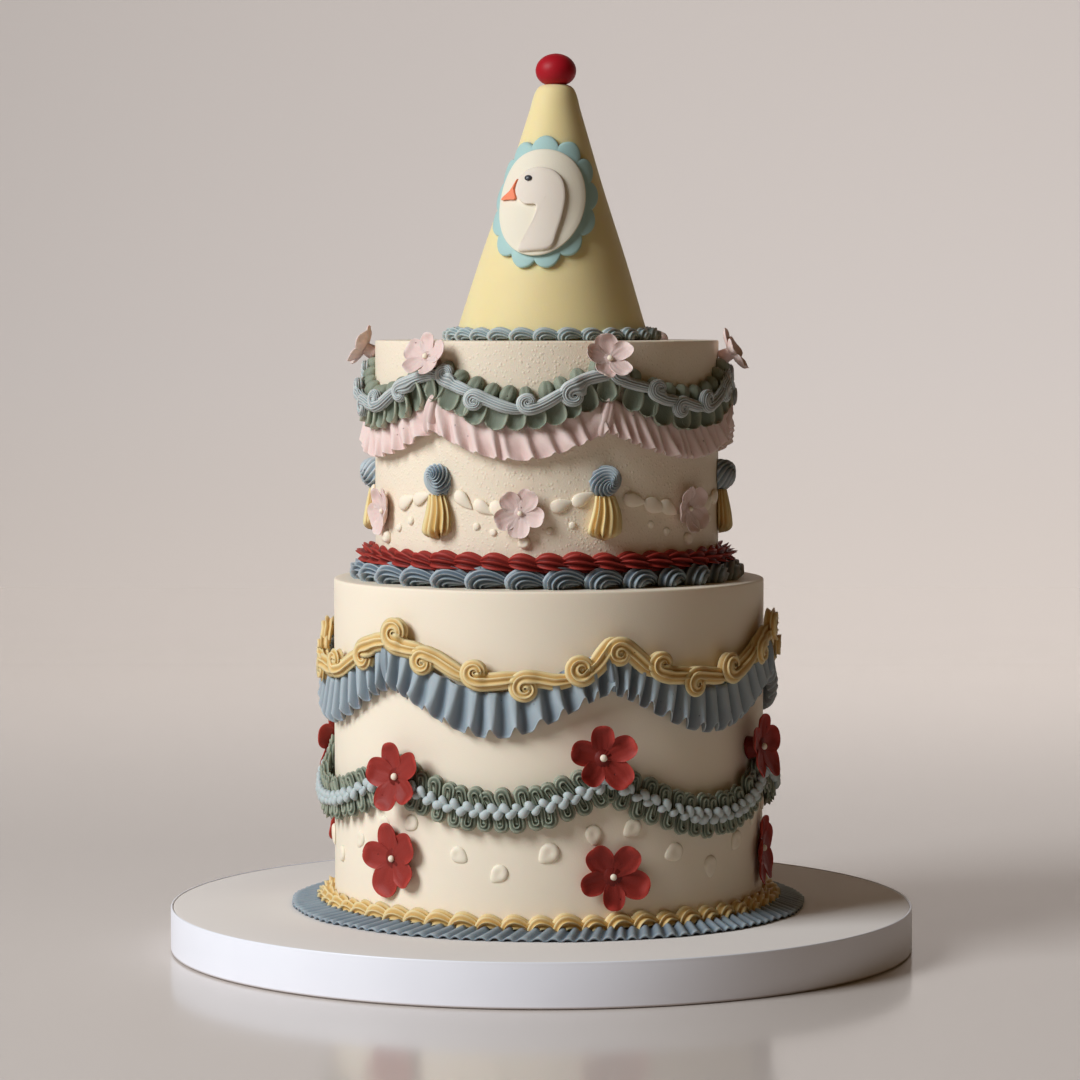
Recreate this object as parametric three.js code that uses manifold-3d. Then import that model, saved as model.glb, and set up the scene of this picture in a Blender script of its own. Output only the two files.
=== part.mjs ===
// A two-tier celebration cake with piped buttercream borders, swags and flowers,
// a pointed hat on top and a low round stand underneath.
//
// Millimetres, +Z up. The origin is the middle of the stand's underside, and the
// front of the cake looks along -Y. Angles round the cake are in degrees, 0 at the
// front and growing towards +X.

import * as THREE from 'three';
import { mergeVertices } from 'three/addons/utils/BufferGeometryUtils.js';
import Module from 'manifold-3d';

const wasm = await Module();
wasm.setup();

// Driving dimensions

const CLEAR = 0.3;                    // gap that curved neighbours keep to each other
const TURNS = 39;                     // flat sides that stand for a full circle

const STAND = { radius: 178, height: 20.9, bandThickness: 1, bandLip: 0.3, bandFoot: 0.5 };
const BOTTOM_TIER = { x: 3.3, radius: 102.9, foot: 20.9, top: 177.85, softness: 1.4 };
const TOP_TIER = { x: 2.6, radius: 82.1, foot: 177.85, top: 291.3, softness: 1.2 };
const HAT = { x: 4.9, leanX: 1.8, foot: 291.3, radius: 46.7, shoulder: 403, taper: 0.306, top: 411 };
const BALL = { x: 6.9, radius: 9.7, halfHeight: 8.1, middle: 419.5 };

// Where the swags of each tier hang from: the cake was marked out by hand
const TOP_PEAKS = [-98, -37, 18.4, 83, 142, 202];
const BOTTOM_PEAKS = [-103, -43, 15.5, 75, 135, 196];

const HAT_BORDER = { shells: 28, inner: 47, outer: 51.2, valley: 49.4, height: 6.5, low: 3.6 };
const RED_BORDER = { shells: 43, outer: 90.2, valley: 87.2, foot: 186.3, slope: 0.4, top: 196, low: 192.6 };
const BLUE_BORDER = { shells: 32, outer: 94.6, valley: 90.6, height: 9.6, low: 5.8, wall: 7.6 };
const GOLD_BORDER = { shells: 50, outer: 111.2, valley: 107.6, height: 9.6, low: 6.4 };
const BASE_RUFFLE = { pleats: 110, inner: 111.6, outer: 123.6, ridge: 3.4, groove: 1.6 };

const LEAF_RUFFLE = { petals: 10, peakTop: 283, peakFoot: 265, dropTop: 14, dropFoot: 13, proud: 5 };
const SCROLL_ROPE = { peak: 276.5, drop: 15.5, width: 7.4, proud: 10.6, atPeak: 5.4, steps: 10, lift: 0.8 };
const PINK_RUFFLE = { flutes: 11, peakFoot: 250, drop: 13, height: 13.4, proud: 8.4, fold: 4.6 };
const GOLD_ROPE = { peak: 154, drop: 18.5, width: 8.4, proud: 11, atPeak: 9.4, steps: 10, lift: 4.2 };
const BLUE_RUFFLE = { flutes: 12, peakFoot: 131.5, drop: 19, height: 18, proud: 9.6, fold: 5.2 };
const GREEN_SWAG = { loops: 15, peak: 92, height: 19, proud: 7.6, atPeak: 3.4 };
const BEAD_CHAIN = { steps: 14, width: 6.6, proud: 9.4, atPeak: 5.2 };
const GREEN_DROPS = [16, 13.5, 19, 16, 15, 17];   // how far each green swag hangs

// Flowers, one for each swag: height, shift along the wall and turn about their middle
const PINK_UPPER = {
  radius: 9.8, standOff: 5.6, tilt: 28,
  z: [287, 283.5, 282.7, 285, 284, 286], shift: [0, 0, 0, 0, 0, 0], turn: [10, 0, 8, 0, 12, 0],
};
const PINK_MID = {
  radius: 9.3, standOff: CLEAR, tilt: 0,
  z: [211, 212.4, 213, 211, 212, 212], shift: [0, 0.8, 1.9, 0, 0, 0], turn: [36, 38, 30, 36, 40, 36],
};
const RED_UPPER = {
  radius: 14.5, standOff: 6.6, tilt: 6,
  z: [97, 91.4, 102.5, 101, 96, 98], shift: [0, 0.5, -1.7, -0.5, 0, 0], turn: [0, 12, 4, 0, 20, 8],
};
const RED_LOWER = {
  radius: 15.5, standOff: CLEAR, tilt: 0,
  z: [51, 52.3, 47.3, 50, 49, 51], shift: [0, -1.7, 1.5, 2.5, 0, 0], turn: [0, 14, 36, 10, 30, 4],
};

const TASSEL = {
  rosette: 227, rosetteWidth: 14, rosetteHeight: 16, dropTop: 219, dropHeight: 19.5, dropWidth: 15,
};
const GARLAND = {
  along: [0.14, 0.24, 0.34, 0.68, 0.78, 0.88], peak: 223, drop: 10,
  dropLength: 8.6, dropWidth: 6.4, proud: 2.8,
};
const TOP_DOTS = { low: 199.6, rise: 0.47, offsets: [-14.5, -8, 0, 8, 14.5], radius: 2, pearl: 2.8 };
const BOTTOM_DOTS = { low: 48.5, rise: 0.8, offsets: [-24.5, -12, 0, 12, 24.5], radius: 3.8 };

const PLAQUE = {
  turn: -13, z: 355.5, halfWidth: 29, halfHeight: 32.4, scallops: 13, bump: 0.11,
  back: 0.9, thickness: 2, gap: 0.5,
};
const OVAL = { halfWidth: 22, halfHeight: 26, thickness: 2.2 };
const GOOSE = { thickness: 2.2 };

const COLOURS = {
  stand: 0xe6e1de, ivory: 0xefe4d3, hat: 0xecdfae, ball: 0xa5182a, aqua: 0xa3cccb, oval: 0xebe3cf,
  goose: 0xe9e2da, beak: 0xee8a66, eye: 0x4a4a50, paleBlue: 0xa9bebf, leaf: 0x66725f, grey: 0x97a3ab,
  pink: 0xdec0ba, red: 0x8f2c2a, blue: 0x7f93a5, gold: 0xdcb973, bead: 0xbccbd4,
};

// Geometry helpers

const turn = (degrees) => (degrees * Math.PI) / 180;
const mix = (a, b, t) => a + (b - a) * t;

function smoothStep(low, high, value) {
  const t = Math.min(1, Math.max(0, (value - low) / (high - low)));
  return t * t * (3 - 2 * t);
}

// Merges shared corners and drops the empty triangles at a pole
function tidy(geometry) {
  const bare = geometry.clone();
  bare.deleteAttribute('normal');
  bare.deleteAttribute('uv');
  const merged = mergeVertices(bare, 1e-3);
  const kept = [];
  for (let i = 0; i < merged.index.count; i += 3) {
    const [a, b, c] = [0, 1, 2].map((k) => merged.index.getX(i + k));
    if (a !== b && b !== c && c !== a) kept.push(a, b, c);
  }
  merged.setIndex(kept);
  return merged;
}

// Six times the signed volume tells whether the faces look outwards
function facingOut(geometry) {
  const p = geometry.attributes.position;
  const corners = [0, 1, 2].map(() => new THREE.Vector3());
  let volume = 0;
  for (let i = 0; i < geometry.index.count; i += 3) {
    corners.forEach((corner, k) => corner.fromBufferAttribute(p, geometry.index.getX(i + k)));
    volume += corners[0].dot(corners[1].clone().cross(corners[2]));
  }
  if (volume < 0) {
    const index = Array.from(geometry.index.array);
    for (let i = 0; i < index.length; i += 3) [index[i], index[i + 1]] = [index[i + 1], index[i]];
    geometry.setIndex(index);
  }
  return geometry;
}

function meshOf(points, faces) {
  const geometry = new THREE.BufferGeometry();
  geometry.setAttribute('position', new THREE.Float32BufferAttribute(points.flat(), 3));
  geometry.setIndex(faces.flat());
  return facingOut(geometry);
}

function lathe(profile, segments) {
  const points = profile.map(([r, z]) => new THREE.Vector2(r, z));
  const geometry = new THREE.LatheGeometry(points, segments);
  geometry.rotateX(Math.PI / 2);
  return facingOut(tidy(geometry));
}

// A closed band round the cake: section(station) gives the same number of [radius, z]
// corners at every station, and each corner is joined to the next station's. The corners
// named in plain make plain lines, which need only every second station
function ring(stations, section, plain = []) {
  const points = [];
  const faces = [];
  const sides = section(stations[0]).length;
  const slots = stations.map((station, i) => {
    const a = turn(station.angle);
    return section(station).map(([r, z], j) => {
      if (plain.includes(j) && i % 2 === 1) return -1;
      points.push([r * Math.sin(a), -r * Math.cos(a), z]);
      return points.length - 1;
    });
  });
  const at = (i, j) => slots[i % stations.length][j % sides];
  for (let i = 0; i < stations.length; i += 2) {
    for (let j = 0; j < sides; j += 1) {
      const [a0, a1, a2] = [at(i, j), at(i + 1, j), at(i + 2, j)];
      const [b0, b1, b2] = [at(i, j + 1), at(i + 1, j + 1), at(i + 2, j + 1)];
      if (a1 < 0 && b1 < 0) faces.push([a0, a2, b2], [a0, b2, b0]);
      else if (b1 < 0) faces.push([a0, a1, b0], [a1, a2, b2], [a1, b2, b0]);
      else if (a1 < 0) faces.push([a0, b1, b0], [a0, a2, b1], [a2, b2, b1]);
      else faces.push([a0, a1, b1], [a0, b1, b0], [a1, a2, b2], [a1, b2, b1]);
    }
  }
  return meshOf(points, faces);
}

// The radius of a straight-sided ring whose sides stay clear of a round wall
const clearOf = (radius, sides) => (radius + CLEAR) / Math.cos(Math.PI / sides);

// Two stations for each shell: the narrow tail, then soon after it the round head
function shellStations(shells) {
  const stations = [];
  for (let i = 0; i < shells; i += 1) {
    stations.push({ angle: (360 * i) / shells, head: false });
    stations.push({ angle: (360 * (i + 0.45)) / shells, head: true });
  }
  return stations;
}

// Stations from peak to peak. hang runs from 0 at a peak to 1 at the lowest point, and
// dip from 0 behind the flower on a peak to 1 clear of it
function swagStations(peaks, steps) {
  const stations = [];
  peaks.forEach((peak, swag) => {
    const span = (swag + 1 < peaks.length ? peaks[swag + 1] : peaks[0] + 360) - peak;
    for (let i = 0; i < steps; i += 1) {
      const along = i / steps;
      const fromPeak = Math.min(along, 1 - along) * span;
      stations.push({
        swag, along, angle: peak + span * along, odd: i % 2 === 1,
        hang: Math.sin(Math.PI * along), dip: smoothStep(7, 15, fromPeak),
      });
    }
  });
  return stations;
}

function toManifold(geometry) {
  const merged = tidy(geometry);
  return new wasm.Manifold(new wasm.Mesh({
    numProp: 3,
    vertProperties: new Float32Array(merged.attributes.position.array),
    triVerts: new Uint32Array(merged.index.array),
  }));
}

function joined(geometries) {
  const [first, ...rest] = geometries.map(toManifold);
  const mesh = rest.reduce((whole, piece) => whole.add(piece), first).getMesh();
  const geometry = new THREE.BufferGeometry();
  geometry.setAttribute('position', new THREE.Float32BufferAttribute(mesh.vertProperties, 3));
  geometry.setIndex(Array.from(mesh.triVerts));
  return geometry;
}

// Moves a piece made flat, facing +Z, to the wall: x goes along it, y up and z outwards
function toWall(geometry, angle, radius, z) {
  geometry.rotateX(Math.PI / 2);
  geometry.translate(0, -radius, z);
  geometry.rotateZ(turn(angle));
  return geometry;
}

// A low drop of icing that comes to a peak, its foot sunk a little into the wall
function peaked(outline, height, sink) {
  const n = outline.length;
  const points = outline.map(([x, y]) => [x, y, -sink]);
  points.push([0, 0, height]);
  const faces = [];
  for (let i = 0; i < n; i += 1) {
    faces.push([i, (i + 1) % n, n]);
    if (i > 0 && i < n - 1) faces.push([0, i + 1, i]);
  }
  return meshOf(points, faces);
}

// A piped blob: straight sides up to a shoulder, then a dome with one middle point
function dome(outline, height, foot, shoulder = 0.62) {
  const n = outline.length;
  const points = outline.map(([x, y]) => [x, y, foot]);
  outline.forEach(([x, y]) => points.push([x * 0.8, y * 0.8, height * shoulder]));
  points.push([0, 0, height]);
  const faces = [];
  for (let i = 0; i < n; i += 1) {
    const next = (i + 1) % n;
    faces.push([i, next, n + next], [i, n + next, n + i], [n + i, n + next, 2 * n]);
    if (i > 0 && i < n - 1) faces.push([0, i + 1, i]);
  }
  return meshOf(points, faces);
}

const roundOutline = (radius, count, stretch = 1) => Array.from({ length: count }, (_, i) => {
  const a = (2 * Math.PI * i) / count;
  return [radius * stretch * Math.cos(a), radius * Math.sin(a)];
});

// A flat drop with a round head at -x and a point at +x
function tearOutline(length, width) {
  const half = length / 2;
  return [[half, 0], [-half * 0.4, width / 2], [-half, width * 0.2], [-half, -width * 0.2],
    [-half * 0.4, -width / 2]];
}

// Materials and the scene graph

const cake = new THREE.Group();
const materials = {};

function material(colour, roughness) {
  const key = `${colour}-${roughness}`;
  materials[key] ??= new THREE.MeshStandardMaterial({ color: COLOURS[colour], roughness, metalness: 0 });
  return materials[key];
}

function put(parent, name, geometry, colour, roughness = 0.7) {
  const mesh = new THREE.Mesh(geometry, material(colour, roughness));
  mesh.name = name;
  parent.add(mesh);
  return mesh;
}

// A group whose +Z looks outwards from the wall of a tier, and up by the tilt
function wallSpot(tier, angle, radius, z, tilt = 0) {
  const pivot = new THREE.Group();
  const spot = new THREE.Group();
  pivot.rotation.z = turn(angle);
  spot.rotation.x = turn(90 - tilt);
  spot.position.set(0, -radius, z);
  pivot.add(spot);
  tier.add(pivot);
  return spot;
}

function tierGroup(x) {
  const group = new THREE.Group();
  group.position.x = x;
  cake.add(group);
  return group;
}

const bottomTier = tierGroup(BOTTOM_TIER.x);
const topTier = tierGroup(TOP_TIER.x);

// Stand: a solid disc with a thin band round its edge

function buildStand() {
  const { radius, height, bandThickness, bandLip, bandFoot } = STAND;
  const core = radius - bandThickness - CLEAR;
  put(cake, 'board', lathe([[0, 0], [core, 0], [core, height], [0, height]], TURNS), 'stand', 0.6);
  const band = lathe([
    [radius - bandThickness, bandFoot], [radius, bandFoot],
    [radius, height + bandLip], [radius - bandThickness, height + bandLip],
    [radius - bandThickness, bandFoot],
  ], TURNS);
  put(cake, 'board_band', band, 'stand', 0.4);
}

// Tiers: solid iced cylinders with the small icing drops that lie on their walls

function tierSolid({ radius, foot, top, softness }) {
  const shoulder = [[radius, top - softness], [radius - softness, top]];
  return lathe([[0, foot], [radius, foot], ...shoulder, [0, top]], TURNS);
}

function middleOf(peaks, swag) {
  const next = swag + 1 < peaks.length ? peaks[swag + 1] : peaks[0] + 360;
  return { middle: (peaks[swag] + next) / 2, span: next - peaks[swag] };
}

function buildBottomTier() {
  const pieces = [tierSolid(BOTTOM_TIER)];
  BOTTOM_PEAKS.forEach((_, swag) => {
    const { middle } = middleOf(BOTTOM_PEAKS, swag);
    BOTTOM_DOTS.offsets.forEach((offset) => {
      const z = BOTTOM_DOTS.low + BOTTOM_DOTS.rise * Math.abs(offset);
      const dot = peaked(roundOutline(BOTTOM_DOTS.radius, 6), 2.2, 0.8);
      pieces.push(toWall(dot, middle + offset, BOTTOM_TIER.radius, z));
    });
  });
  put(bottomTier, 'tier_bottom', joined(pieces), 'ivory');
}

function buildTopTier() {
  const pieces = [tierSolid(TOP_TIER)];
  TOP_PEAKS.forEach((peak, swag) => {
    const { middle, span } = middleOf(TOP_PEAKS, swag);
    TOP_DOTS.offsets.forEach((offset) => {
      const z = TOP_DOTS.low + TOP_DOTS.rise * Math.abs(offset);
      const radius = offset === 0 ? TOP_DOTS.pearl : TOP_DOTS.radius;
      const dot = peaked(roundOutline(radius, 5), radius * 0.8, 0.5);
      pieces.push(toWall(dot, middle + offset, TOP_TIER.radius, z));
    });
    GARLAND.along.forEach((along) => {
      const z = GARLAND.peak - GARLAND.drop * Math.sin(Math.PI * along);
      const drop = peaked(tearOutline(GARLAND.dropLength, GARLAND.dropWidth), GARLAND.proud, 0.6);
      drop.rotateZ(along < 0.5 ? turn(-28) : turn(200));
      pieces.push(toWall(drop, peak + span * along, TOP_TIER.radius, z));
    });
  });
  put(topTier, 'tier_top', joined(pieces), 'ivory');
}

// Piped borders: rings of shells at the foot of the tiers and of the hat

function buildBorders() {
  const hatGroup = tierGroup(HAT.x);
  put(hatGroup, 'hat_border', ring(shellStations(HAT_BORDER.shells), ({ head }) => {
    const outer = head ? HAT_BORDER.outer : HAT_BORDER.valley;
    const top = HAT.foot + (head ? HAT_BORDER.height : HAT_BORDER.low);
    const inner = clearOf(HAT.radius, HAT_BORDER.shells);
    return [[inner, HAT.foot], [outer, HAT.foot], [mix(inner, outer, 0.45), top]];
  }, [0]), 'paleBlue');

  put(topTier, 'red_border', ring(shellStations(RED_BORDER.shells), ({ head }) => {
    const inner = clearOf(TOP_TIER.radius, RED_BORDER.shells);
    const outer = head ? RED_BORDER.outer : RED_BORDER.valley;
    const foot = RED_BORDER.foot + RED_BORDER.slope * (outer - inner);
    const top = head ? RED_BORDER.top : RED_BORDER.low;
    return [[inner, RED_BORDER.foot], [outer, foot], [mix(inner, outer, 0.3), top]];
  }, [0]), 'red');

  put(topTier, 'blue_border', ring(shellStations(BLUE_BORDER.shells), ({ head }) => {
    const inner = clearOf(TOP_TIER.radius, BLUE_BORDER.shells);
    const outer = head ? BLUE_BORDER.outer : BLUE_BORDER.valley;
    const top = TOP_TIER.foot + (head ? BLUE_BORDER.height : BLUE_BORDER.low);
    return [[inner, TOP_TIER.foot], [outer, TOP_TIER.foot], [outer - 1.2, mix(TOP_TIER.foot, top, 0.62)],
      [mix(inner, outer, 0.42), top], [inner, TOP_TIER.foot + BLUE_BORDER.wall]];
  }, [0, 4]), 'blue');

  put(bottomTier, 'gold_border', ring(shellStations(GOLD_BORDER.shells), ({ head }) => {
    const inner = clearOf(BOTTOM_TIER.radius, GOLD_BORDER.shells);
    const outer = head ? GOLD_BORDER.outer : GOLD_BORDER.valley;
    const top = STAND.height + (head ? GOLD_BORDER.height : GOLD_BORDER.low);
    return [[inner, STAND.height], [outer, STAND.height], [mix(inner, outer, 0.35), top]];
  }, [0]), 'gold');

  const pleats = [];
  for (let i = 0; i < 2 * BASE_RUFFLE.pleats; i += 1) {
    pleats.push({ angle: (180 * i) / BASE_RUFFLE.pleats, ridge: i % 2 === 0 });
  }
  put(bottomTier, 'base_ruffle', ring(pleats, ({ ridge }) => {
    const top = STAND.height + (ridge ? BASE_RUFFLE.ridge : BASE_RUFFLE.groove);
    const { inner, outer } = BASE_RUFFLE;
    return [[inner, STAND.height], [outer - 0.4, STAND.height], [outer, top]];
  }, [0, 1]), 'blue');
}

// Swags on the top tier: leaf ruffle, rope with curls and the pink ruffle below

function ruffle(tier, peaks, { flutes, peakFoot, drop, height, proud, fold }) {
  const wall = clearOf(tier.radius, peaks.length * flutes);
  return ring(swagStations(peaks, 2 * flutes), ({ hang, odd }) => {
    const hem = peakFoot - drop * hang;
    const out = tier.radius + (odd ? fold : proud);
    return [[wall, hem + height], [out, hem + (odd ? 1.6 : 0)], [wall, hem + 1.6]];
  }, [0, 2]);
}

// Curls of a rope: how far along the swag, and 1 above the rope or -1 below it
const SCROLL_CURLS = [[0.19, -1], [0.55, 1], [0.82, -1]];
const GOLD_CURLS = [[0.04, 1], [0.2, -1], [0.43, 1], [0.63, -1], [0.86, 1]];

function rope(tier, peaks, { peak, drop, width, proud, atPeak, steps, lift }, curls, back) {
  const centre = (hang) => peak - drop * hang ** 1.2;
  const stations = swagStations(peaks, steps);
  const body = ring(stations, ({ hang, dip }) => {
    const inner = tier.radius + back(dip);
    const outer = tier.radius + mix(atPeak, proud, dip);
    const z = centre(hang);
    return [[inner, z - width / 2], [outer, z - width / 3], [outer, z + width / 3], [inner, z + width / 2]];
  });
  const pieces = [body];
  peaks.forEach((from, swag) => {
    const { span } = middleOf(peaks, swag);
    curls.forEach(([along, side]) => {
      const fromPeak = Math.min(along, 1 - along) * span;
      const z = centre(Math.sin(Math.PI * along)) + side * width * 0.55;
      const foot = back(smoothStep(7, 15, fromPeak + 4)) + (side < 0 ? lift : 0.8);
      const height = mix(atPeak, proud, smoothStep(7, 15, fromPeak)) + 0.6 - foot;
      const curl = dome(roundOutline(width * 0.56, 5), height, 0, 0.8);
      pieces.push(toWall(curl, from + span * along, tier.radius + foot, z));
    });
  });
  return joined(pieces);
}

function buildTopSwags() {
  const wall = clearOf(TOP_TIER.radius, TOP_PEAKS.length * LEAF_RUFFLE.petals);
  put(topTier, 'leaf_ruffle', ring(swagStations(TOP_PEAKS, 2 * LEAF_RUFFLE.petals), ({ hang, dip, odd }) => {
    const top = LEAF_RUFFLE.peakTop - LEAF_RUFFLE.dropTop * hang;
    const foot = LEAF_RUFFLE.peakFoot - LEAF_RUFFLE.dropFoot * hang;
    const out = TOP_TIER.radius + mix(1.6, LEAF_RUFFLE.proud, dip);
    return [[wall, top - (odd ? 2.2 : 0)], [out, mix(foot, top, 0.5)],
      [out, foot + (odd ? 2.6 : 0)], [wall, foot + 2]];
  }, [1, 3]), 'leaf');
  const behindRope = (dip) => mix(1.6, LEAF_RUFFLE.proud, dip) + CLEAR + 2.6 * dip * (1 - dip);
  put(topTier, 'scroll_rope', rope(TOP_TIER, TOP_PEAKS, SCROLL_ROPE, SCROLL_CURLS, behindRope), 'grey');
  put(topTier, 'pink_ruffle', ruffle(TOP_TIER, TOP_PEAKS, PINK_RUFFLE), 'pink');
}

// Swags on the bottom tier: gold rope over the blue ruffle, and the green swag with
// its chain of beads

function buildBottomSwags() {
  put(bottomTier, 'blue_ruffle', ruffle(BOTTOM_TIER, BOTTOM_PEAKS, BLUE_RUFFLE), 'blue');
  const onWall = () => CLEAR;
  put(bottomTier, 'gold_rope', rope(BOTTOM_TIER, BOTTOM_PEAKS, GOLD_ROPE, GOLD_CURLS, onWall), 'gold');

  const wall = clearOf(BOTTOM_TIER.radius, BOTTOM_PEAKS.length * GREEN_SWAG.loops);
  const swagZ = ({ hang, swag }) => GREEN_SWAG.peak - GREEN_DROPS[swag] * hang;
  put(bottomTier, 'green_swag', ring(swagStations(BOTTOM_PEAKS, 2 * GREEN_SWAG.loops), (station) => {
    const z = swagZ(station);
    const half = GREEN_SWAG.height / 2 - (station.odd ? 1.6 : 0);
    const out = BOTTOM_TIER.radius + mix(GREEN_SWAG.atPeak, GREEN_SWAG.proud, station.dip);
    return [[wall, z - half], [out, z], [wall, z + half]];
  }, [1]), 'leaf');
  put(bottomTier, 'bead_chain', ring(swagStations(BOTTOM_PEAKS, BEAD_CHAIN.steps), (station) => {
    const z = swagZ(station);
    const inner = BOTTOM_TIER.radius + mix(GREEN_SWAG.atPeak, GREEN_SWAG.proud, station.dip) + CLEAR + 0.2;
    const outer = BOTTOM_TIER.radius + mix(BEAD_CHAIN.atPeak, BEAD_CHAIN.proud, station.dip);
    return [[inner, z - BEAD_CHAIN.width / 2], [outer, z], [inner, z + BEAD_CHAIN.width / 2]];
  }), 'bead');
}

// Flowers: five petals round a pearl, on the wall or on the ropes at the peaks

function flower(radius) {
  const petals = 5;
  const outline = [];
  for (let petal = 0; petal < petals; petal += 1) {
    const middle = Math.PI / 2 + (2 * Math.PI * petal) / petals;
    const notch = middle + Math.PI / petals;
    [[middle - 0.32, 1], [middle + 0.32, 1], [notch, 0.5]].forEach(([a, r]) => {
      outline.push([radius * r * Math.cos(a), radius * r * Math.sin(a), r === 1 ? 0.26 : 0.14]);
    });
  }
  const n = outline.length;
  const points = [...outline.map(([x, y]) => [x, y, 0]), ...outline.map(([x, y, h]) => [x, y, radius * h])];
  points.push([0, 0, radius * 0.34], [0, 0, 0]);
  const faces = [];
  for (let i = 0; i < n; i += 1) {
    const next = (i + 1) % n;
    faces.push([i, next, n + next], [i, n + next, n + i], [n + i, n + next, 2 * n], [next, i, 2 * n + 1]);
  }
  return meshOf(points, faces);
}

function putFlowers(group, tier, angles, row, name, colour) {
  angles.forEach((angle, i) => {
    const spot = wallSpot(group, angle + row.shift[i], tier.radius + row.standOff, row.z[i], row.tilt);
    put(spot, `${name}_${i + 1}`, flower(row.radius), colour).rotation.z = turn(row.turn[i]);
  });
}

function buildFlowers() {
  const middles = TOP_PEAKS.map((_, i) => middleOf(TOP_PEAKS, i).middle);
  putFlowers(topTier, TOP_TIER, TOP_PEAKS, PINK_UPPER, 'pink_flower_upper', 'pink');
  putFlowers(topTier, TOP_TIER, middles, PINK_MID, 'pink_flower_mid', 'pink');
  putFlowers(bottomTier, BOTTOM_TIER, BOTTOM_PEAKS, RED_UPPER, 'red_flower_upper', 'red');
  putFlowers(bottomTier, BOTTOM_TIER, BOTTOM_PEAKS, RED_LOWER, 'red_flower_lower', 'red');
}

// Tassels under the peaks of the top tier: a swirled rosette over a ridged drop

function buildTassels() {
  TOP_PEAKS.forEach((peak, i) => {
    const wall = TOP_TIER.radius + CLEAR;
    const slim = TASSEL.rosetteWidth / TASSEL.rosetteHeight;
    const rosette = dome(roundOutline(TASSEL.rosetteHeight / 2, 8, slim), 6, 0);
    put(wallSpot(topTier, peak, wall, TASSEL.rosette), `tassel_rosette_${i + 1}`, rosette, 'blue');
    const half = TASSEL.dropHeight / 2;
    const drop = dome([[0.3, 1], [-0.3, 1], [-0.9, -0.1], [-0.75, -0.8], [0, -1], [0.75, -0.8], [0.9, -0.1]]
      .map(([x, y]) => [(x * TASSEL.dropWidth) / 2, y * half]), 5.4, 0);
    put(wallSpot(topTier, peak, wall, TASSEL.dropTop - half), `tassel_drop_${i + 1}`, drop, 'gold');
  });
}

// Hat: a leaning cone with a rounded tip, a ball on it and the plaque on its front

const hatRadius = (z) => HAT.radius - HAT.taper * (z - HAT.foot);
const hatAxis = (z) => HAT.x + (HAT.leanX * (z - HAT.foot)) / (HAT.top - HAT.foot);

// Shifts every level of a piece sideways so that it leans as the hat does
function lean(geometry) {
  const p = geometry.attributes.position;
  for (let i = 0; i < p.count; i += 1) p.setX(i, p.getX(i) + hatAxis(p.getZ(i)));
  return geometry;
}

function buildHat() {
  const shoulder = hatRadius(HAT.shoulder);
  const hat = lathe([
    [0, HAT.foot], [HAT.radius, HAT.foot], [shoulder, HAT.shoulder],
    [shoulder * 0.88, mix(HAT.shoulder, HAT.top, 0.5)], [shoulder * 0.6, mix(HAT.shoulder, HAT.top, 0.85)],
    [0, HAT.top],
  ], TURNS);
  put(cake, 'hat', lean(hat), 'hat', 0.65);
  const ball = new THREE.SphereGeometry(BALL.radius, 12, 8);
  ball.rotateX(Math.PI / 2);
  ball.scale(1, 1, BALL.halfHeight / BALL.radius);
  put(cake, 'hat_ball', facingOut(tidy(ball)), 'ball', 0.35).position.set(BALL.x, 0, BALL.middle);
}

// Bends a flat outline round the hat. It is filled by rings towards its own middle, with
// fewer corners on the inner rings, and stands from back to front off the hat's surface
function wrapped(outline, middle, rings, back, front) {
  const [mx, my] = middle;
  const slope = Math.cos(Math.atan(HAT.taper));
  const bend = ([x, y], off) => {
    const z = PLAQUE.z + y * slope;
    const r = hatRadius(z);
    const a = turn(PLAQUE.turn) + x / r;
    return [(r + off) * Math.sin(a), -(r + off) * Math.cos(a), z];
  };
  const levels = rings.map(([size, step]) => outline.filter((_, i) => i % step === 0)
    .map(([x, y]) => [mx + (x - mx) * size, my + (y - my) * size]));
  const flat = [...levels.flat(), middle];
  const starts = levels.map((_, i) => levels.slice(0, i).reduce((sum, level) => sum + level.length, 0));
  const faces = [];
  levels.forEach((level, i) => {
    const n = level.length;
    const inner = levels[i + 1];
    for (let j = 0; j < n; j += 1) {
      const a = starts[i] + j;
      const b = starts[i] + ((j + 1) % n);
      if (!inner) {
        faces.push([a, b, flat.length - 1]);
      } else if (inner.length === n) {
        const c = starts[i + 1] + j;
        const d = starts[i + 1] + ((j + 1) % n);
        faces.push([a, b, d], [a, d, c]);
      } else {
        const c = starts[i + 1] + Math.floor(j / 2);
        const d = starts[i + 1] + (Math.floor(j / 2) + 1) % inner.length;
        if (j % 2 === 0) faces.push([a, b, c]);
        else faces.push([a, b, d], [a, d, c]);
      }
    }
  });
  const count = flat.length;
  const points = [...flat.map((p) => bend(p, front)), ...flat.map((p) => bend(p, back))];
  const all = [...faces, ...faces.map(([a, b, c]) => [b + count, a + count, c + count])];
  const n = outline.length;
  for (let j = 0; j < n; j += 1) {
    const next = (j + 1) % n;
    all.push([j, count + j, count + next], [j, count + next, next]);
  }
  return lean(meshOf(points, all));
}

function ovalOutline(halfWidth, halfHeight, count, bumps = 0, bump = 0) {
  return Array.from({ length: count }, (_, i) => {
    const a = (2 * Math.PI * i) / count;
    const r = bumps ? 1 - bump + bump * Math.abs(Math.sin((a * bumps) / 2)) : 1;
    return [halfWidth * r * Math.cos(a), halfHeight * r * Math.sin(a)];
  });
}

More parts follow.
